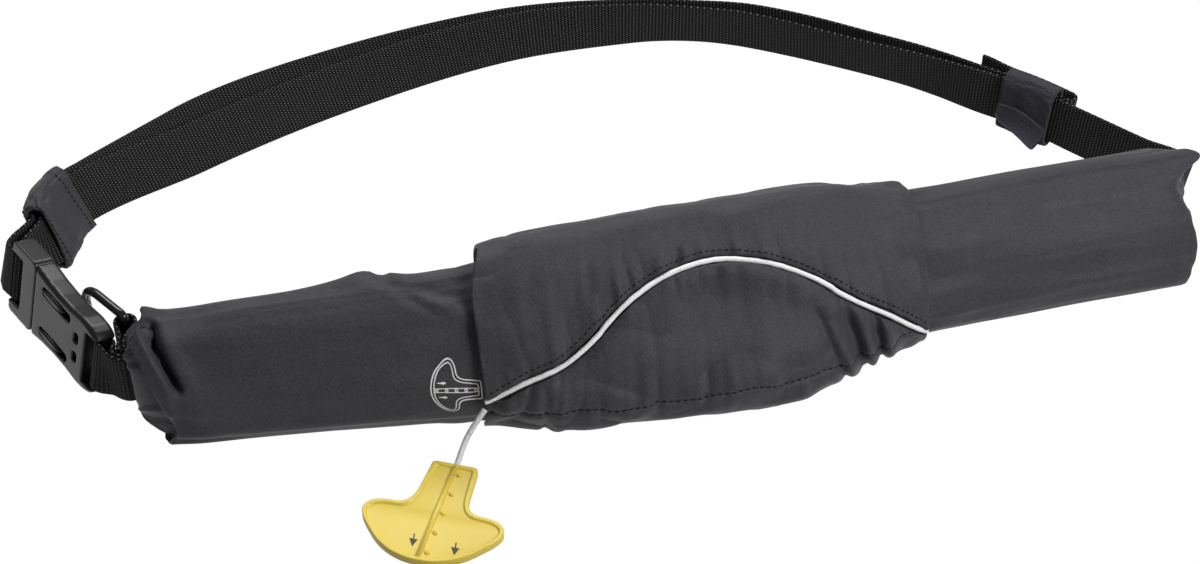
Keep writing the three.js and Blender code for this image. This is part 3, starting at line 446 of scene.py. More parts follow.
def stitches(name, points, normals, pitch, length, radius):
    """A row of short threads that lie on a surface."""
    points = np.asarray(points, float)
    run = distances(points)
    vertices = []
    faces = []
    for middle in np.arange(pitch / 2, run[-1], pitch):
        ends = [on_line(middle + s * length / 2, run, points) for s in (-1, 1)]
        normal = unit(on_line(middle, run, normals))
        side = np.cross(normal, unit(ends[1] - ends[0]))
        faces += capped_faces(len(THREAD_ROWS), THREAD_SIDES, len(vertices))
        for t, size in THREAD_ROWS:
            centre = ends[0] * (1 - t) + ends[1] * t + normal * radius * (0.9 * size - 0.45)
            for angle in circle(THREAD_SIDES):
                vertices.append(centre + side * radius * size * math.cos(angle)
                                + normal * radius * size * math.sin(angle))
    return make_mesh(name, np.array(vertices), faces)


# Materials

WEAVE_PITCH = 0.0005
RIB_PITCH = 0.0018
DASH_PITCH = 0.0013


class Look:
    """A material and short ways to add nodes to it."""

    def __init__(self, name, colour, rough, specular):
        self.material = bpy.data.materials.new(name)
        self.material.use_nodes = True
        tree = self.material.node_tree
        self.nodes, self.links = tree.nodes, tree.links
        self.shader = self.nodes["Principled BSDF"]
        self.fill(self.shader, {"Base Color": (*colour, 1), "Roughness": rough,
                                "Specular IOR Level": specular})

    def fill(self, node, values):
        """Sets the named inputs of a node to numbers or links them to outputs."""
        for name, value in values.items():
            if isinstance(value, bpy.types.NodeSocket):
                self.links.new(value, node.inputs[name])
            else:
                node.inputs[name].default_value = value
        return node

    def add(self, kind, values, **settings):
        node = self.nodes.new(kind)
        for name, value in settings.items():
            setattr(node, name, value)
        return self.fill(node, values)

    def math(self, operation, *values):
        return self.add("ShaderNodeMath", dict(enumerate(values)), operation=operation).outputs[0]

    def noise(self, scale, detail):
        place_ = self.add("ShaderNodeTexCoord", {}).outputs["Object"]
        values = {"Vector": place_, "Scale": scale, "Detail": detail, "Roughness": 0.55}
        return self.add("ShaderNodeTexNoise", values).outputs["Fac"]

    def span(self, value, low, high, to_low=0.0, to_high=1.0):
        values = {"Value": value, "From Min": low, "From Max": high,
                  "To Min": to_low, "To Max": to_high}
        return self.add("ShaderNodeMapRange", values).outputs[0]

    def bump(self, height, distance, strength=1.0):
        values = {"Strength": strength, "Distance": distance, "Height": height}
        node = self.add("ShaderNodeBump", values)
        self.fill(self.shader, {"Normal": node.outputs["Normal"]})

    def uv(self):
        place_ = self.add("ShaderNodeTexCoord", {}).outputs["UV"]
        split = self.add("ShaderNodeSeparateXYZ", {0: place_})
        return split.outputs["X"], split.outputs["Y"]


def nylon(name, colour):
    """Fine plain-woven nylon with faint crinkles and a slightly uneven tone."""
    look = Look(name, colour, 0.52, 0.20)
    warp, weft = (look.math("SINE", look.math("MULTIPLY", way, 2 * math.pi / WEAVE_PITCH))
                  for way in look.uv())
    weave = look.math("MULTIPLY", warp, weft)
    height = look.math("MULTIPLY_ADD", weave, 0.05, look.noise(160, 4))
    height = look.math("MULTIPLY_ADD", look.noise(28, 2), 2.0, height)
    height = look.math("MULTIPLY_ADD", look.noise(1500, 2), 0.35, height)
    look.bump(height, 0.00045, 0.9)
    tone = look.math("MULTIPLY_ADD", look.noise(45, 3), 0.35, look.noise(1100, 2))
    shade = look.span(tone, 0.45, 0.95, 0.72, 1.3)
    tint = look.add("ShaderNodeVectorMath", {}, operation="SCALE")
    look.fill(tint, {0: colour, "Scale": shade})
    look.fill(look.shader, {"Base Color": tint.outputs[0], "Sheen Weight": 0.05,
                            "Sheen Roughness": 0.4})
    return look.material


def webbing(name):
    """Black webbing: columns of small raised dashes across its width, with a painted highlight in
    grey on each dash.
    """
    look = Look(name, (0.012, 0.012, 0.012), 0.72, 0.12)
    u, v = look.uv()
    column = look.math("MULTIPLY", u, 1 / RIB_PITCH)
    row = look.math("MULTIPLY", v, 1 / DASH_PITCH)
    odd = look.math("MULTIPLY", look.math("FLOOR", column), 0.5)
    ridge, dash = (look.math("SINE", look.math("MULTIPLY", way, 2 * math.pi))
                   for way in (column, look.math("ADD", row, odd)))
    both = look.math("MULTIPLY", look.math("MULTIPLY_ADD", ridge, 0.5, 0.5),
                     look.math("MULTIPLY_ADD", dash, 0.5, 0.5))
    # B is a painted highlight: grey laid on the tops of the raised dashes where the weave catches
    # light. A is the webbing's own black.
    values = {"Factor": look.span(both, 0.35, 0.85), "A": (0.008, 0.008, 0.008, 1),
              "B": (0.145, 0.145, 0.146, 1)}
    mix = look.add("ShaderNodeMix", values, data_type="RGBA")
    look.fill(look.shader, {"Base Color": mix.outputs["Result"]})
    look.bump(both, 0.0005)
    return look.material


def simple(name, colour, rough, grain=0.0, scale=800, specular=0.5):
    """A plain material, with a fine grain where one is given."""
    look = Look(name, colour, rough, specular)
    if grain:
        look.bump(look.noise(scale, 4), grain)
    return look.material


NYLON = nylon("nylon_charcoal", (0.047, 0.046, 0.0535))
NYLON_COVER = nylon("nylon_cover", (0.048, 0.047, 0.0535))
WEBBING = webbing("webbing_black")
PIPING = simple("piping_white", (0.90, 0.90, 0.90), 0.55, 0.0001, 1500)
THREAD = simple("thread_black", (0.006, 0.006, 0.006), 0.7, specular=0.1)
FUZZ = simple("loop_fuzz", (0.064, 0.061, 0.075), 0.95, 0.0016, 1100, 0.15)
PLASTIC = simple("plastic_black", (0.010, 0.010, 0.011), 0.34, 0.00002, 3000, 0.35)
RING_BLACK = simple("ring_black", (0.010, 0.010, 0.011), 0.22, specular=0.4)
# The cord is white. Its colour is set greyer than the white piping as painted shade, so the cord
# stands apart from the white ground.
CORD_WHITE_PAINTED_SHADE = simple("cord_white_painted_shade", (0.72, 0.72, 0.73), 0.8, specular=0.2)
YELLOW = simple("handle_yellow", (0.76, 0.58, 0.072), 0.45, 0.00003, 400)
INK_DARK = simple("ink_dark", (0.05, 0.045, 0.02), 0.6)
INK_WHITE = simple("ink_white", (0.78, 0.78, 0.79), 0.55)
BLADDER = simple("bladder_coating", (0.020, 0.020, 0.021), 0.5, 0.0004, 120)


def dress(piece, material):
    piece.data.materials.clear()
    piece.data.materials.append(material)
    return piece


# Pouch sleeve

TURNS = 168
BODY_STATIONS = 160
END_STATIONS = 26
END_CLOSE = 30


CREASE_AT = -137.0
SLIT_AT = -240.0


def wing_detail(at, turn):
    """Bands, wrinkles at the cover's edges, the crease beside it, and the left end's slit."""
    signed = signed_turn(turn)
    x = at * HALF
    bands = 0.8 * noise(x / 95, signed / 16, 11) + 0.35 * noise(x / 38, signed / 9, 12)
    near_cover = bump(np.abs(x - FLAP_SHIFT), FLAP_WIDTH / 2 + 4, 26)
    pulls = 0.8 * near_cover * noise(x / 16 + signed / 60, signed / 11, 13)
    valley = x - (CREASE_AT + 19 * np.clip((signed + 14) / 73, 0, 1.2) ** 2.4)
    span = window(signed, -34, -14, 52, 72)
    crease = -1.7 * bump(valley, 0, 2.4) * span
    crest = window(signed, -30, -8, 14, 46)
    ridge = 1.9 * bump(valley, -8, 8) * crest + 0.7 * bump(valley, 5, 5) * span
    gathers = 0.9 * smoothstep(np.abs(at), 0.86, 1.0) * noise(x / 22, signed / 12, 14)
    peak = 4.5 * bump(signed, 16, 15) * smoothstep(-at, 0.95, 1.0)
    moved = x - rim_shape(-1, turn) * smoothstep(-at, 0.9, 1.0)
    down = np.clip((signed - 34) / 61, 0, 1)
    slit_line = moved - (SLIT_AT + 9.0 * down ** 2)
    slit_span = window(signed, 26, 36, 90, 100)
    slit = -11.0 * bump(slit_line, 0, 2.6 - 1.1 * down) * slit_span
    lip = 0.8 * bump(slit_line, 6, 3.5) * slit_span
    lip = lip + 1.8 * bump(slit_line, -4.6, 2.2) * window(signed, 20, 40, 92, 122)
    dents = -2.2 * bump(signed, 128, 16) * smoothstep(-at, 0.93, 1.0)
    return bands + pulls + crease + ridge + gathers + peak + slit + lip + dents


def rim_shape(side, turn):
    """How far the rim stands out at each turn: the right end has an ear and a hollow."""
    signed = signed_turn(turn)
    if side < 0:
        folded = 8.0 * bump(signed, 58, 30) + 2.0 * bump(signed, 4, 16)
        return folded - 6.0 * bump(signed, 141, 27)
    ear = 3.5 * bump(signed, 32, 14) - 7.0 * bump(signed, -4, 15)
    return ear - 5.0 * bump(signed, 66, 16) + 3.5 * bump(signed, 112, 26)


def sleeve_rings(inset):
    turns = np.linspace(0, 360, TURNS, endpoint=False)
    signed = signed_turn(turns)

    def closing(rows, side, mouth, fold):
        last = rows["at"][-1]
        rings = []
        for step in np.linspace(0, last, END_STATIONS):
            close = float(np.clip(read(rows, "close", step), 0, 1))
            detail = wing_detail(float(side), turns) * (1 - close)
            rim = pouch_point(side, turns, detail - inset, inset)
            ring = rim * (1 - close) + mouth_point(mouth, turns, inset) * close
            share = bump(signed, fold["turn"], fold["width"])
            pleat = 4 * close * (1 - close) * (1.1 * noise(turns / 9, 3.0 * side + close, 21)
                                               + 0.7 * noise(turns / 4.5, side, 22))
            ring[:, 0] = side * (HALF + END_REACH * float(read(rows, "reach", step)) + pleat
                                 - (inset if step < last else 0)
                                 + rim_shape(side, turns) * (1 - close)
                                 + END_FOLD * float(read(rows, "fold", step)) * share)
            rings.append(ring)
        return rings

    body = []
    for at in np.concatenate([np.linspace(-1, -0.93, END_CLOSE)[1:-1],
                              np.linspace(-0.93, 1, BODY_STATIONS)[:-1]]):
        ring = pouch_point(at, turns, wing_detail(at, turns) - inset, inset)
        side = 1 if at > 0 else -1
        ring[:, 0] += side * rim_shape(side, turns) * smoothstep(abs(at), 0.9, 1.0)
        body.append(ring)
    left = closing(LEFT_END_ROWS, -1, LEFT_MOUTH, LEFT_FOLD)[::-1]
    right = closing(RIGHT_END_ROWS, 1, RIGHT_MOUTH, RIGHT_FOLD)
    return np.stack(left + body + right)


def pouch_shell():
    piece = shell("pouch_shell", sleeve_rings(0.0), sleeve_rings(CLOTH), True)
    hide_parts("pouch_sleeve")
    return dress(piece, NYLON)


# Cover, pocket and piping

# Millimetres along the cloth for a degree of turn, and how deep a dent may go.
FRONT_DEGREE = 0.62
HEM_DEGREE = 0.55
COVER_DENT = -2.3
POCKET_DENT = -2.2
HEM_STITCH_TURN = 138.5


def distance_to_seam(across, turn):
    """Distance up the face from the seam, in millimetres."""
    return (read(PIPING_ROWS, "turn", across) - turn) * FRONT_DEGREE


def cover_detail(across, turn):
    x = across * FLAP_WIDTH / 2
    away = distance_to_seam(across, turn)
    strength = 0.45 + 0.75 * bump(across, -0.35, 0.4) + 0.25 * bump(across, 0.6, 0.2)
    ripples = creases(x / 10 + away / 60, away / 45, 31) + 0.5 * noise(x / 4, away / 25, 32)
    puckers = 2.1 * strength * np.exp(-np.maximum(away, 0) / 15) * ripples
    deep = -1.8 * bump(x - away * 0.25, -13, 3.2) * np.exp(-np.maximum(away, 0) / 9)
    tuck = -1.1 * bump(away, 0.5, 2.6)
    soft = 1.5 * noise(x / 48, turn / 30, 33) + 0.6 * noise(x / 20, turn / 16, 34)
    top = bump(turn, 4, 16) * smoothstep(across, 0.55, 0.8) * 1.1 * noise(x / 9, turn / 14, 35)
    top = top + bump(turn, -4, 12) * 0.5 * noise(x / 13, turn / 9, 36)
    hems = 0.25 * bump(np.abs(across), 1.0, 0.03)
    left = bump(across, -1.0, 0.25) * 0.9 * creases(x / 14, turn / 16, 37)
    right = bump(across, 1.0, 0.25) * 0.8 * creases(x / 12, turn / 18, 38)
    return np.maximum(puckers + deep + tuck + soft + top + hems + left + right, COVER_DENT)


def hem_line(across):
    """Turn of the stitched hem line, which waves."""
    x = across * FLAP_WIDTH / 2
    return HEM_STITCH_TURN + 2.2 * noise(x / 15, 0.3, 41) + 1.3 * noise(x / 7, 0.7, 42)


# Place across, slant and depth of the pocket's creases at the right.
POCKET_CREASES = ((0.62, 0.0016, -3.0), (0.73, 0.0010, -2.4), (0.5, 0.002, -1.8))


def pocket_detail(across, turn):
    x = across * FLAP_WIDTH / 2
    away = -distance_to_seam(across, turn)
    hem = (turn - hem_line(across)) * HEM_DEGREE
    fan = (across - 0.05) * (turn - 60) / 55
    ripples = creases(x / 10 - fan, turn / 60, 43) + 0.6 * noise(x / 4.5 - fan, turn / 40, 44)
    near_seam = 1.2 * np.exp(-np.maximum(away, 0) / 12) * ripples
    near_hem = (1.3 + 0.8 * smoothstep(across, 0.1, 0.6)) * bump(hem, -1, 9) * ripples
    below = 0.9 * smoothstep(hem, 1, 8) * noise(x / 10, hem / 14, 45)
    stitched = -bump(hem, 0, 1.3)
    tuck = -0.9 * bump(away, 0.5, 2.4)
    roll = 1.1 * bump(away, 6, 4)
    left = -1.6 * bump(across, -0.75, 0.02) * smoothstep(turn, 112, 125)
    left = left + 0.9 * bump(across, -0.70, 0.03) * smoothstep(turn, 110, 125)
    right = 0.0
    for middle, slant, depth in POCKET_CREASES:
        line = across - middle - slant * (turn - 120)
        lower = smoothstep(turn, 90, 112)
        right = right + depth * bump(line, 0, 0.022) * lower
        right = right - 0.7 * depth * bump(line, 0.045, 0.03) * lower
    warp = 7 * noise(x / 40, turn / 40, 49)
    soft = 2.0 * noise((x + 0.6 * turn + warp) / 34, (turn - 0.25 * x) / 30, 46)
    slanted = (0.8 * turn - 0.4 * x + warp) / 26
    soft = soft + 0.9 * creases((x + 0.9 * turn + warp) / 30, slanted, 47)
    edges = smoothstep(np.abs(across), 1.0, 0.93)
    folds = (near_seam + near_hem + below + soft + roll + 0.6) * edges
    return np.maximum(folds + stitched + tuck + left + right, POCKET_DENT)


PANEL_ACROSS = np.linspace(-1, 1, 230)[:, None]
COVER_ROWS = 130
POCKET_ROWS = 90
SEAM_STITCH = {"pitch": 3.0, "length": 1.9, "radius": 0.29}
HEM_STITCH = {"pitch": 3.2, "length": 2.1, "radius": 0.31}
KEEPER_STITCH = {"pitch": 2.6, "length": 1.9, "radius": 0.30}
SEAM_STITCH_UP = 4.2


def panel(name, start, end, rows, detail):
    """Cloth over the pouch between two lines of turns."""
    turn = start + (end - start) * np.linspace(0, 1, rows)[None, :]
    across = np.broadcast_to(PANEL_ACROSS, turn.shape)
    extra = detail(across, turn)
    outer, inner = (flap_point(across, turn, inset, extra) for inset in (0.0, CLOTH))
    return shell(name, outer, inner, False)


def flap_cover():
    seam_edge = seam_turn(PANEL_ACROSS, -SEAM_HALF)
    piece = panel("flap_cover", FLAP_HEM_TURN, seam_edge, COVER_ROWS, cover_detail)
    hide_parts("centre_flap")
    return dress(piece, NYLON_COVER)


def pocket_panel():
    seam_edge = seam_turn(PANEL_ACROSS, SEAM_HALF)
    piece = panel("pocket_panel", seam_edge, POCKET_HEM_TURN, POCKET_ROWS, pocket_detail)
    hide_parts("lower_pocket")
    return dress(piece, NYLON_COVER)


def piping():
    across = np.linspace(-1, 1, 220)
    points = flap_point(across, seam_turn(across, 0), CLOTH / 2 - GAP)
    points[:, 2] += 0.10 * noise(across * 60, 0.5, 51)

    def ribs(run, angle):
        return 0.05 * math.sin(run * 2 * math.pi / 1.1) * np.ones_like(angle)

    piece = tube("piping", points, PIPING_DIAMETER / 2, 14, bumps=ribs)
    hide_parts("flap_piping")
    return dress(piece, PIPING)


def panel_stitches(name, detail, turn_at, sizes):
    """Stitches along a line of turns on the outer face of a panel."""
    across = np.linspace(-0.985, 0.985, 400)
    turn = turn_at(across)
    points, above = (flap_point(across, turn, 0.0, detail(across, turn) + out)
                     for out in (0.0, 1.0))
    piece = stitches(name, points, unit(above - points), **sizes)
    return dress(piece, THREAD)


# Pictogram of the pull handle, printed on the left wing

CURVE_STEPS = 10


def handle_outline(inset):
    """Outline of the pull handle with its stem's top edge on v = 0, moved in by an inset."""
    w = HANDLE_WIDTH / 2 - inset
    h = HANDLE_HEIGHT - inset
    stem = STEM_WIDTH / 2 - inset
    shoulder = HANDLE_HEIGHT * 0.47 + inset
    tip = HANDLE_HEIGHT * 0.6
    corner = 2.2

    def curve(a, b, c):
        t = np.linspace(0, 1, CURVE_STEPS)[1:, None]
        a, b, c = (np.array(p, float) for p in (a, b, c))
        return ((1 - t) ** 2 * a + 2 * t * (1 - t) * b + t * t * c).tolist()

    neck, arm = (stem + 1, HANDLE_HEIGHT * 0.3), (w * 0.62, shoulder)
    low = (w * 0.8, tip + 10)
    right = [[stem - corner, inset]]
    right += curve(right[0], (stem, inset), (stem, inset + corner))
    right += [list(neck)] + curve(neck, (stem + 2, shoulder), arm)
    right += curve(arm, (w, shoulder), (w, tip)) + curve((w, tip), (w * 0.98, tip + 4), low)
    right += curve(low, (w * 0.48, h), (0, h))
    left = [[-x, y] for x, y in right[-2::-1]]
    return np.array(right + left)


SIGN_SCALE = 0.385
SIGN_AT = -101.6
SIGN_TURN = 117.0
SIGN_DEGREE = 0.505
PRINT_OUT = 0.12


def sign_point(u, v):
    """A point of the wing at a place in the pictogram, in the handle's own millimetres."""
    x = SIGN_AT - SIGN_SCALE * v
    turn = SIGN_TURN + SIGN_SCALE * u / SIGN_DEGREE + 0.07 * (28 - v)
    at = x / HALF
    return pouch_point(at, turn, wing_detail(at, turn) + PRINT_OUT)


def ribbon(points, width, closed):
    """Faces of a flat ribbon along a line in the pictogram's plane."""
    points = np.asarray(points, float)
    if closed:
        ahead = np.roll(points, -1, 0) - np.roll(points, 1, 0)
    else:
        ahead = np.gradient(points, axis=0)
    normal = unit(np.stack([-ahead[:, 1], ahead[:, 0]], -1))
    edges = np.stack([points - normal * width / 2, points + normal * width / 2], 1)
    rows = len(points)
    faces = []
    for i in range(rows if closed else rows - 1):
        j = (i + 1) % rows
        faces.append([2 * i, 2 * i + 1, 2 * j + 1, 2 * j])
    return edges.reshape(-1, 2), faces


def pictogram():
    flat = []
    faces = []

    def add(points, width, closed=False):
        spots, quads = ribbon(points, width, closed)
        start = sum(len(p) for p in flat)
        flat.append(spots)
        faces.extend([[start + i for i in quad] for quad in quads])

    add(handle_outline(0), 1.5, True)
    add(handle_outline(3.4), 1.3, True)
    for side in (-1, 1):
        run = np.linspace(2.0, HANDLE_HEIGHT - 2.5, 30)
        add(np.stack([np.full_like(run, side * 2.3), run], -1), 1.0)
    angle = circle(14)
    for v in np.arange(6.5, 56, 11):
        add(np.stack([1.5 * np.cos(angle), v + 1.5 * np.sin(angle)], -1), 1.1, True)
    for u in (-8.5, 8.5):
        run = np.linspace(39, 49, 6)
        widths = np.array([0.6, 2.6, 3.2, 1.6, 1.2, 1.0])
        start = sum(len(p) for p in flat)
        spots = [[u + side * w / 2, v] for v, w in zip(run, widths) for side in (-1, 1)]
        flat.append(np.array(spots))
        faces.extend([[start + 2 * i + k for k in (0, 1, 3, 2)] for i in range(5)])
    spots = np.concatenate(flat)
    points = sign_point(spots[:, 0], spots[:, 1])
    return dress(make_mesh("wing_pictogram", points, faces), INK_WHITE)


# Buckle frame

ALONG = np.array([math.cos(BUCKLE_HEADING), math.sin(BUCKLE_HEADING), 0.0])
UP = np.array([0.0, 0.0, 1.0])
SIDE = np.cross(UP, ALONG)
WIDE = UP * math.cos(BUCKLE_LEAN) + SIDE * math.sin(BUCKLE_LEAN)
FACE = np.cross(ALONG, WIDE)
BUCKLE_END = np.array([
    LEFT_MOUTH[0] - 12,
    LEFT_MOUTH[1] + 7,
    BUCKLE_WIDTH / 2 * math.cos(BUCKLE_LEAN) + BUCKLE_THICK / 2 * math.sin(BUCKLE_LEAN) + 0.2,
])


def on_buckle(along, wide, face):
    return BUCKLE_END + ALONG * (along - BUCKLE_LENGTH) + WIDE * wide + FACE * face


# Belt route

BAR_WRAP = BAR_SIZE * math.sqrt(0.5) + 1.5 * GAP + WEBBING_THICK / 2
LAYER_PITCH = WEBBING_THICK + 2 * GAP
STRAP_HALF = WEBBING_WIDTH / 2


def belt_knots():
    start = on_buckle(BAR_SIZE / 2, 0, -BAR_WRAP) - WIDE * STRAP_HALF
    leave = on_buckle(BAR_SIZE / 2 - 9, 0, -BAR_WRAP) - WIDE * STRAP_HALF
    lean = -math.degrees(BUCKLE_LEAN)
    knots = [(*start, lean, 1), (*leave, lean, 1)]
    for across, back, low, tilt in BELT_ROWS:
        knots.append((across * HALF, back * LOOP_DEPTH, low * WEBBING_WIDTH, tilt, 0))
    foot = RIGHT_MOUTH[2] - STRAP_HALF
    knots.append((RIGHT_MOUTH[0] + 9, RIGHT_MOUTH[1] + 12, foot, 8, 0))
    knots.append((RIGHT_MOUTH[0], RIGHT_MOUTH[1], foot, 0, 0))
    knots.append((RIGHT_MOUTH[0] - 3, RIGHT_MOUTH[1] - 0.5, foot, 0, 0))
    run = distances(np.array([knot[:2] for knot in knots]))
    return table(("at", "x", "y", "low", "lean", "free"),
                 *[(at, *knot) for at, knot in zip(run, knots)])


KNOTS = belt_knots()
BELT_LENGTH = float(KNOTS["at"][-1])


def belt_station(at, outside=0.0):
    """Centres, width and outward directions and leans of a band outside the inner layer."""
    at = np.atleast_1d(np.asarray(at, float))
    outside = np.broadcast_to(np.asarray(outside, float), at.shape)
    before, after = (np.clip(at + step, 0, BELT_LENGTH) for step in (-0.5, 0.5))
    dx, dy = (read(KNOTS, way, after) - read(KNOTS, way, before) for way in ("x", "y"))
    along = unit(np.stack([dx, dy, np.zeros_like(at)], -1))
    outward = np.stack([-along[:, 1], along[:, 0], np.zeros_like(at)], -1)
    lean = np.radians(read(KNOTS, "lean", at))
    cos, sin = np.cos(lean), np.sin(lean)
    wide = UP * cos[:, None] + outward * sin[:, None]
    rise = cos * STRAP_HALF + np.abs(sin) * WEBBING_THICK / 2
    free = np.clip(read(KNOTS, "free", at), 0, 1)
    aside = outside * (1 / cos * (1 - free) + cos * free)
    height = np.maximum(read(KNOTS, "low", at), 0) + rise - outside * sin * free
    point = np.stack([read(KNOTS, "x", at), read(KNOTS, "y", at), height], -1)
    return point + outward * (aside + sin * STRAP_HALF)[:, None], wide, outward, lean


def layer_spread(at):
    share = at / BELT_LENGTH
    return (LAYER_PITCH + LAYER_SPREAD * np.maximum(0, read(SPREAD_ROWS, "spread", share))
            + (2 * BAR_WRAP - LAYER_PITCH) * np.maximum(0, read(SPREAD_ROWS, "bar", share)))


WRAP_END = BELT_LENGTH - WRAP_TO_MOUTH
WRAP_START = WRAP_END - WRAP_LENGTH
WRAP_TURN = WRAP_END + 4.0
RETURN_OUT = LAYER_PITCH + WEBBING_THICK + KEEPER_ROOM + WRAP_WALL + 3 * GAP


EDGE_STEPS = 7
FACE_STEPS = 12


def band_profile(width, thick):
    """Round-edged section of webbing, as (across, out) pairs in order."""
    w, t = width / 2, thick / 2
    edge = np.radians(np.linspace(90, -90, EDGE_STEPS))
    right = [(w - t + t * math.cos(a), t * math.sin(a)) for a in edge]
    top = [(x, t) for x in np.linspace(t - w, w - t, FACE_STEPS)[1:-1]]
    left = [(t - w - t * math.cos(a), t * math.sin(a)) for a in edge[::-1]]
    low = [(x, -t) for x in np.linspace(w - t, t - w, FACE_STEPS)[1:-1]]
    return np.array(left + top + right + low)


def band(name, points, wides, node):
    """Webbing along stations. Its texture runs along its length and across its width."""
    points = np.asarray(points, float)
    face = unit(np.cross(unit(np.gradient(points, axis=0)), wides))
    profile = band_profile(WEBBING_WIDTH, WEBBING_THICK)
    rings = (points[:, None] + wides[:, None] * profile[None, :, :1]
             + face[:, None] * profile[None, :, 1:])
    faces = capped_faces(*rings.shape[:2])
    across = (profile[None, :, 0] + 30) / 1000
    uv = np.stack(np.broadcast_arrays(distances(points)[:, None] / 1000, across), -1)
    piece = face_out(make_mesh(name, rings.reshape(-1, 3), faces, uv.reshape(-1, 2)))
    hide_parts(node)
    return dress(piece, WEBBING)


def bar_turn():
    """Half a turn of webbing round the socket's bar."""
    angles = np.radians(np.linspace(90, -90, 13))
    points = np.array([on_buckle(BAR_SIZE / 2 + BAR_WRAP * math.cos(a), 0,
                                 BAR_WRAP * math.sin(a)) for a in angles])
    return points, np.tile(WIDE, (len(angles), 1))


BELT_STEP = 2.0
INTO_TURN = 0.5


def webbing_belt():
    turn, turn_wide = bar_turn()
    turn[0] += ALONG * INTO_TURN
    point, wide, _, _ = belt_station(np.arange(0, BELT_LENGTH, BELT_STEP))
    return band("webbing_belt", np.concatenate([turn[:-1], point]),
                np.concatenate([turn_wide[:-1], wide]), "belt_strap")


def webbing_tail():
    radius = (RETURN_OUT - LAYER_PITCH) / 2
    places = np.arange(0, WRAP_TURN, BELT_STEP)
    out, out_wide, _, _ = belt_station(places, layer_spread(places))
    out[0] -= ALONG * INTO_TURN
    angles = np.radians(np.linspace(-60, 60, 7))
    turn, turn_wide, _, _ = belt_station(WRAP_TURN + radius * np.cos(angles),
                                         LAYER_PITCH + radius + radius * np.sin(angles))
    last = WRAP_START - FREE_END
    back_at = np.arange(WRAP_TURN, last, -BELT_STEP)
    flare = smoothstep(WRAP_START + 4 - back_at, 0, FREE_END + 4)
    outside = np.maximum(RETURN_OUT, layer_spread(back_at) + LAYER_PITCH) + 5 * flare
    back, back_wide, _, _ = belt_station(back_at, outside)
    return band("webbing_tail", np.concatenate([out, turn, back]),
                np.concatenate([out_wide, turn_wide, back_wide]), "strap_tail")


def keeper(name, node, start, length, wall, material, soft, seed):
    """A soft sleeve round both layers, fuller than its solid at the faces."""
    places = np.linspace(start, start + length, 40)
    centre, wide, _, lean = belt_station(places, layer_spread(places) / 2)
    layers = float(np.max(layer_spread(np.arange(start, start + length + 0.1, 4.0))))
    steepest = float(np.max(np.abs(np.tan(lean))))
    w = (WEBBING_WIDTH + layers * steepest) / 2 + KEEPER_ROOM
    t = (layers + WEBBING_THICK) / 2 + KEEPER_ROOM
    face = unit(np.cross(unit(np.gradient(centre, axis=0)), wide))
    angle = circle(96)
    share = np.linspace(-1, 1, len(places))[:, None]

    def rings(grow):
        section_w = w + grow
        section_t = t + grow
        a = rounded(np.cos(angle), 5.0)[None, :] * section_w
        b = rounded(np.sin(angle), 3.2)[None, :] * section_t
        wave = soft * noise(share * 2.2 + 5, angle[None, :] * 3.2, seed)
        wave = wave + 0.5 * soft * noise(share * 5, angle[None, :] * 7, seed + 1)
        points = (centre[:, None] + wide[:, None] * (a * (1 + wave / section_w))[..., None]
                  + face[:, None] * (b * (1 + wave / section_t))[..., None])
        points[..., 2] = np.maximum(points[..., 2], wall - grow)
        return points

    piece = shell(name, rings(wall), rings(0.0), True)
    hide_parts(node)
    dress(piece, material)
    return rings


def keeper_seams(rings, shares):
    """A row of stitches round the nylon keeper at each share of its length."""
    grid = rings(KEEPER_WALL)
    outer = rings(KEEPER_WALL + 1.0)
    for number, share in enumerate(shares):
        row = int(round(share * (len(grid) - 1)))
        points = np.concatenate([grid[row], grid[row][:1]])
        normals = unit(np.concatenate([outer[row], outer[row][:1]]) - points)
        piece = stitches(f"keeper_stitches_{number}", points, normals, **KEEPER_STITCH)
        dress(piece, THREAD)


def keeper_tab():
    """The wrap's loose end, which curls away from the belt."""
    share = np.linspace(0, 1, 40)[:, None]
    point, wide, outward, _ = belt_station(WRAP_START + share[:, 0] * WRAP_LENGTH)
    face = WEBBING_THICK / 2 + KEEPER_ROOM + WRAP_WALL + 2.5 * GAP
    flare = TAB_FLARE * (0.25 + 0.75 * share)
    depth = TAB_DEPTH * (0.45 + 0.35 * np.sqrt(np.clip(1 - (2 * share - 1.05) ** 4, 0, 1)))
    rise = 2.5 * np.sin(math.pi * (0.1 + 0.9 * share)) - 3.5 * share
    t = np.linspace(0, 1, 24)[None, :]
    bend = t * math.pi / 2
    drop = (rise - depth * np.sin(bend))[..., None]
    curl = 0.4 * noise(share * 4, t * 3, 61) * t

    def side(thick):
        reach = -face - thick - flare * (1 - np.cos(bend))
        return point[:, None] + wide[:, None] * drop + outward[:, None] * (reach + curl)[..., None]

    piece = shell("fuzzy_tab", side(KEEPER_WALL), side(0.0), False)
    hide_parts("keeper_tab")
    return dress(piece, FUZZ)


# Tabs at the left mouth and the ring

TAB_PITCH = WEBBING_THICK + 1.5 * GAP
TAB_ASIDE = 1.35 * TAB_PITCH
RING_HEADING = math.radians(122)
TAB_HEADING = math.radians(-95)
RING_AWAY = np.array([math.cos(RING_HEADING), math.sin(RING_HEADING), 0.0])
RING_BAR = LEFT_MOUTH + np.array([-0.2, 21.0, 0.0])


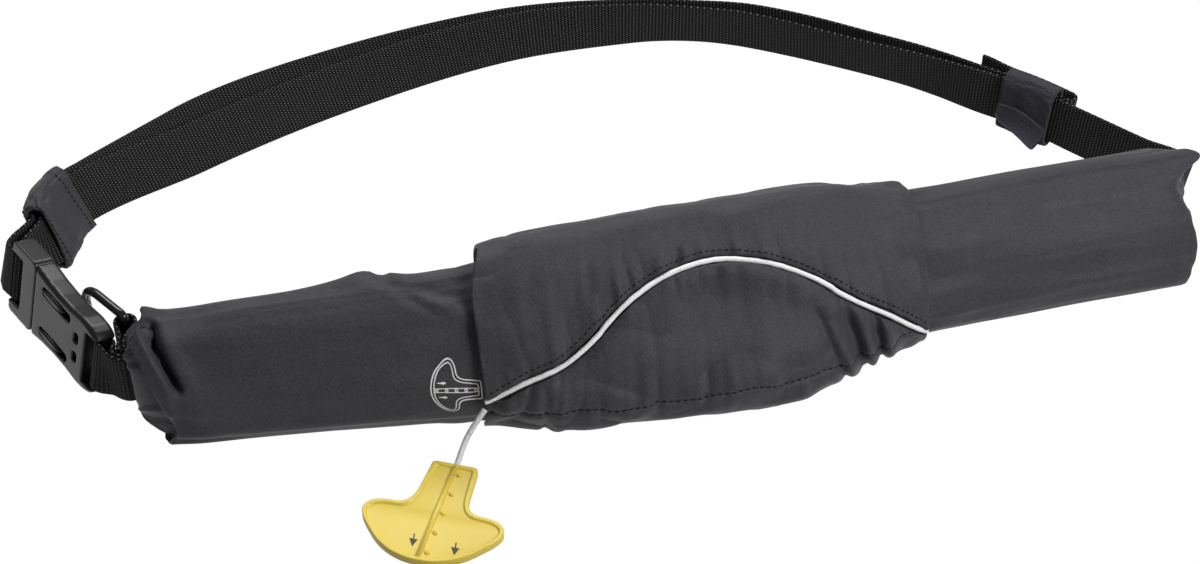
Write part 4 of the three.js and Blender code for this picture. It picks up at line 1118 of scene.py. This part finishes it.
def tab_loop(name, node, bar, heading, wide, mouth_offset, wrap):
    """Doubled webbing out of the left mouth, round a bar and back beside itself."""
    to = LEFT_MOUTH + np.array([-2.0, mouth_offset, 0.0])
    pull = np.linalg.norm(to - bar) * 0.4
    a, b, c, d = bar, bar + heading * pull, to + np.array([-pull / 2, 0, 0]), to
    t = np.linspace(0, 1, 22)[:, None]
    curve = (1 - t) ** 3 * a + 3 * t * (1 - t) ** 2 * b + 3 * t * t * (1 - t) * c + t ** 3 * d
    tangent = unit(3 * (1 - t) ** 2 * (b - a) + 6 * t * (1 - t) * (c - b) + 3 * t * t * (d - c))
    share = smoothstep(t, 0.05, 0.45)
    upright = unit(wide * (1 - share) + UP * share)
    normal = unit(np.cross(tangent, upright))
    offset = wrap + (TAB_PITCH / 2 - wrap) * smoothstep(t, 0, 0.45)
    sides = {sign: curve + normal * offset * sign for sign in (-1, 1)}
    across = unit(np.cross(heading, wide))
    angles = np.radians(np.linspace(90, -90, 13))[1:-1]
    turn = np.array([bar - heading * wrap * math.cos(x) + across * wrap * math.sin(x)
                     for x in angles])
    inside = {sign: sides[sign][-1].copy() for sign in (-1, 1)}
    for end in inside.values():
        end[0] = LEFT_MOUTH[0] + 1.0
    points = np.concatenate([[inside[1]], sides[1][::-1], turn, sides[-1], [inside[-1]]])
    wides = np.concatenate([[UP], upright[::-1], np.tile(wide, (len(turn), 1)), upright, [UP]])
    return band(name, points, wides, node)


def webbing_tabs():
    bar = on_buckle(BUCKLE_LENGTH - BAR_SIZE / 2, 0, 0)
    tab_loop("webbing_buckle_tab", "left_tab", bar, ALONG, WIDE, -TAB_ASIDE, BAR_WRAP)
    heading = np.array([math.cos(TAB_HEADING), math.sin(TAB_HEADING), 0.0])
    wrap = RING_WIRE / 2 + RING_CLEARANCE + WEBBING_THICK / 2
    tab_loop("webbing_ring_tab", "ring_tab", RING_BAR, heading, UP, TAB_ASIDE, wrap)


def ring_wire():
    half = (RING_OPENING + RING_WIRE) / 2
    depth = RING_DEPTH + RING_WIRE
    corner = RING_WIRE * 0.8
    bow = half * 0.75
    path = []
    for away, up, radius, start, end, count in (
            (depth - bow, half - bow, bow, 90, 0, 16), (depth - bow, bow - half, bow, 0, -90, 16),
            (corner, corner - half, corner, -90, -180, 8),
            (corner, half - corner, corner, 180, 90, 8)):
        for x in np.radians(np.linspace(start, end, count)):
            path.append(RING_BAR + RING_AWAY * (away + radius * math.cos(x))
                        + UP * (up + radius * math.sin(x)))
    piece = tube("ring_wire", path, RING_WIRE / 2, 20, "ring", True)
    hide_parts("d_ring")
    return dress(piece, RING_BLACK)


# Pull cord and handle

CORD_POINTS = np.array([
    [-101.6, -45.6, 17.4], [-103.2, -46.2, 15.6], [-104.6, -46.8, 14.0], [-106.0, -47.4, 12.3],
    [-107.4, -47.9, 10.6], [-108.7, -48.5, 9.0], [-109.9, -49.3, 7.5], [-111.1, -50.3, 6.1],
    [-112.3, -51.6, 4.8], [-113.4, -53.2, 3.8], [-114.5, -55.0, 3.0], [-115.6, -57.1, 2.4],
    [-116.7, -59.3, 2.1], [-117.8, -61.6, 2.0],
])

HANDLE_DOWN = np.array([math.cos(HANDLE_HEADING), math.sin(HANDLE_HEADING), 0.0])
CORD_IN_STEM = 1.6
CORD_SMOOTHING = 12
BRAID_PITCH = 3.2


def cord():
    """The cord, with its last millimetres set into the handle's stem."""
    knots = np.concatenate([CORD_POINTS, [CORD_POINTS[-1] + HANDLE_DOWN * CORD_IN_STEM]])
    run = distances(knots)
    points = on_line(np.linspace(0, run[-1], 160), run, knots)
    for _ in range(CORD_SMOOTHING):
        points[1:-1] = (points[:-2] + 2 * points[1:-1] + points[2:]) / 4

    def braid(at, angle):
        left = np.sin(4 * angle + at * 2 * math.pi / BRAID_PITCH)
        right = np.sin(4 * angle - at * 2 * math.pi / BRAID_PITCH)
        return 0.09 * np.maximum(left, right) - 0.05

    piece = tube("braided_cord", points, CORD_DIAMETER / 2, 32, bumps=braid)
    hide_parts("pull_cord")
    dress(piece, CORD_WHITE_PAINTED_SHADE)
    return piece


HANDLE_RIGHT = np.cross(HANDLE_DOWN, UP)
HANDLE_TOP = CORD_POINTS[-1] * [1, 1, 0] + HANDLE_DOWN * GAP


def on_handle(u, v, z):
    return HANDLE_TOP + HANDLE_RIGHT * u + HANDLE_DOWN * v + UP * z


def lofted(name, loops):
    """A closed solid over loops of points with the same count, stacked from low to high."""
    faces = capped_faces(len(loops), len(loops[0]))
    return face_out(make_mesh(name, np.stack(loops).reshape(-1, 3), faces))


def at_height(outline, z):
    return np.array([on_handle(u, v, z) for u, v in outline])


BOSS_COUNT = 5


def moulded_handle():
    """The handle with its raised rim, its centre rib and a row of bosses beside the rib."""
    rise = HANDLE_THICK + RIM_HEIGHT
    rim = ((0.5, 0.0), (0.12, 0.15), (0.0, 0.5), (0.0, rise - 0.5), (0.15, rise - 0.12),
           (0.5, rise), (RIM_WIDTH - 0.5, rise), (RIM_WIDTH - 0.1, rise - 0.15),
           (RIM_WIDTH + 0.1, HANDLE_THICK + 0.1), (RIM_WIDTH + 0.4, HANDLE_THICK))
    body = lofted("moulded_handle", [at_height(handle_outline(inset), z) for inset, z in rim])
    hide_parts("pull_handle")
    dress(body, YELLOW)
    top, end = RIM_WIDTH * 0.6, HANDLE_HEIGHT - RIM_WIDTH
    loops = []
    for inset, z in ((-0.15, HANDLE_THICK - 0.4), (0.0, HANDLE_THICK + 0.3),
                     (0.1, rise - 0.15), (0.4, rise)):
        half = RIM_WIDTH / 2 - inset
        loops.append(at_height(((-half, top), (half, top), (half, end), (-half, end)), z))
    dress(lofted("handle_rib", loops), YELLOW)
    angle = circle(24)
    sizes = ((1.15, HANDLE_THICK - 0.3), (1.0, HANDLE_THICK + 0.3), (0.95, rise - 0.2),
             (0.7, rise))
    for i in range(BOSS_COUNT):
        v = HANDLE_HEIGHT * (i + 0.5) / BOSS_COUNT
        loops = [at_height(np.stack([r * np.cos(angle) - 1.5 * RIM_WIDTH,
                                     v + r * np.sin(angle)], -1), z) for r, z in sizes]
        dress(lofted(f"handle_boss_{i}", loops), YELLOW)


ARROWS = ({"u": 5.3, "v": 42.6}, {"u": -13.3, "v": 43.0})


def handle_arrows():
    shape = np.array([(-0.3, 0.0), (0.3, 0.0), (0.3, 2.8), (1.9, 2.8), (0.0, 7.0),
                      (-1.9, 2.8), (-0.3, 2.8)])
    for number, arrow in enumerate(ARROWS):
        points = np.array([on_handle(arrow["u"] + a - 0.17 * b, arrow["v"] + b,
                                     HANDLE_THICK + PRINT_OUT / 2) for a, b in shape])
        piece = make_mesh(f"handle_arrow_{number}", points, [list(range(len(shape)))[::-1]])
        dress(piece, INK_DARK)


# Buckle: press pads, and halves that keep their own solids

PAD_MIDDLE = 40.5
PAD_LENGTH = 21.0
PAD_HALF = 1.75
PAD_WIDE = 10.9


# Height and size of each loop of a pad.
PAD_LOOPS = ((-6.3, 0.45), (-6.0, 0.72), (-5.2, 0.95), (0.0, 1.0), (5.2, 0.95), (6.0, 0.72),
             (6.3, 0.45))
VOXEL = 0.0005
SOFTENING = 10


def press_pads():
    """The leaf-shaped pads of the plug's arms, standing in the socket's side windows."""
    around = circle(48)
    run = PAD_LENGTH / 2 * np.cos(around)
    half = PAD_HALF * np.sign(np.sin(around)) * np.abs(np.sin(around)) ** 1.3
    for number, side in enumerate((-1, 1)):
        loops = [np.array([on_buckle(PAD_MIDDLE + a * (0.5 + 0.5 * size),
                                     side * PAD_WIDE + b * size, height)
                           for a, b in zip(run, half)]) for height, size in PAD_LOOPS]
        dress(lofted(f"press_pad_{number}", loops), PLASTIC)


def finish_solid(name):
    """Rounds the edges of a half of the buckle, which keeps its own solid."""
    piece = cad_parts[name]
    piece.data.materials.clear()
    piece.data.materials.append(PLASTIC)
    merge = piece.modifiers.new("weld", "WELD")
    merge.merge_threshold = 0.00002
    remesh = piece.modifiers.new("voxels", "REMESH")
    remesh.mode = "VOXEL"
    remesh.voxel_size = VOXEL
    remesh.use_smooth_shade = True
    soften = piece.modifiers.new("soften", "SMOOTH")
    soften.factor = 0.5
    soften.iterations = SOFTENING
    fewer = piece.modifiers.new("fewer", "DECIMATE")
    fewer.ratio = 0.45
    piece.data.polygons.foreach_set("use_smooth", [True] * len(piece.data.polygons))


pouch_shell()
cover = flap_cover()
pocket = pocket_panel()
piping()
seam = panel_stitches("seam_stitches", cover_detail,
                      lambda across: seam_turn(across, -SEAM_STITCH_UP), SEAM_STITCH)
hem = panel_stitches("hem_stitches", pocket_detail, hem_line, HEM_STITCH)
pictogram()
webbing_belt()
webbing_tail()
left_rings = keeper("nylon_keeper", "sleeve_keeper", KEEPER_START, KEEPER_LENGTH, KEEPER_WALL,
                    NYLON, 0.7, 71)
keeper_seams(left_rings, (0.09, 0.91))
keeper("fuzzy_keeper", "wrap_keeper", WRAP_START, WRAP_LENGTH, WRAP_WALL, FUZZ,
       0.5, 81)
keeper_tab()
webbing_tabs()
ring_wire()
cord()
moulded_handle()
handle_arrows()
finish_solid("buckle_socket")
finish_solid("buckle_plug")
press_pads()
dress(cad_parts["bladder_roll"], BLADDER)


# Floor, light and camera

def floor():
    """A white ground that glows by itself and gives the part no diffuse light."""
    mesh = bpy.data.meshes.new("floor")
    corners = [(x, y, -0.0005) for x, y in ((-6, -6), (6, -6), (6, 6), (-6, 6))]
    mesh.from_pydata(corners, [], [[0, 1, 2, 3]])
    plane = bpy.data.objects.new("floor", mesh)
    bpy.context.scene.collection.objects.link(plane)
    look = Look("floor_white", (0.05, 0.05, 0.05), 0.9, 0.0)
    look.fill(look.shader, {"Emission Color": (1, 1, 1, 1), "Emission Strength": 0.99})
    plane.data.materials.append(look.material)
    plane.visible_diffuse = False


def area_light(name, location, target, size, power):
    data = bpy.data.lights.new(name, "AREA")
    data.shape = "RECTANGLE"
    data.size, data.size_y = size
    data.energy = power
    light = bpy.data.objects.new(name, data)
    light.location = location
    direction = Vector(target) - Vector(location)
    light.rotation_euler = direction.to_track_quat("-Z", "Y").to_euler()
    bpy.context.scene.collection.objects.link(light)


floor()
area_light("key", (0.75, -0.75, 0.95), (0, -0.05, 0.0), (0.5, 0.5), 14)
area_light("fill", (-1.3, -1.1, 0.9), (0, -0.05, 0.03), (1.0, 0.8), 0.5)
area_light("rim", (0.0, 1.2, 1.3), (0, 0.0, 0.03), (1.5, 0.5), 21)

world = bpy.data.worlds.new("studio")
world.use_nodes = True
background = world.node_tree.nodes["Background"].inputs
background["Color"].default_value = (1, 1, 1, 1)
background["Strength"].default_value = 0.20
bpy.context.scene.world = world
bpy.context.scene.view_settings.view_transform = "Standard"

camera_data = bpy.data.cameras.new("camera")
camera_data.lens = 70
camera_data.sensor_width = 36
camera_data.clip_end = 20
camera = bpy.data.objects.new("camera", camera_data)
camera.location = (-0.19134, -0.82400, 0.74357)
camera.rotation_euler = (math.radians(48), 0, math.radians(-12.98))
bpy.context.scene.collection.objects.link(camera)
bpy.context.scene.camera = camera
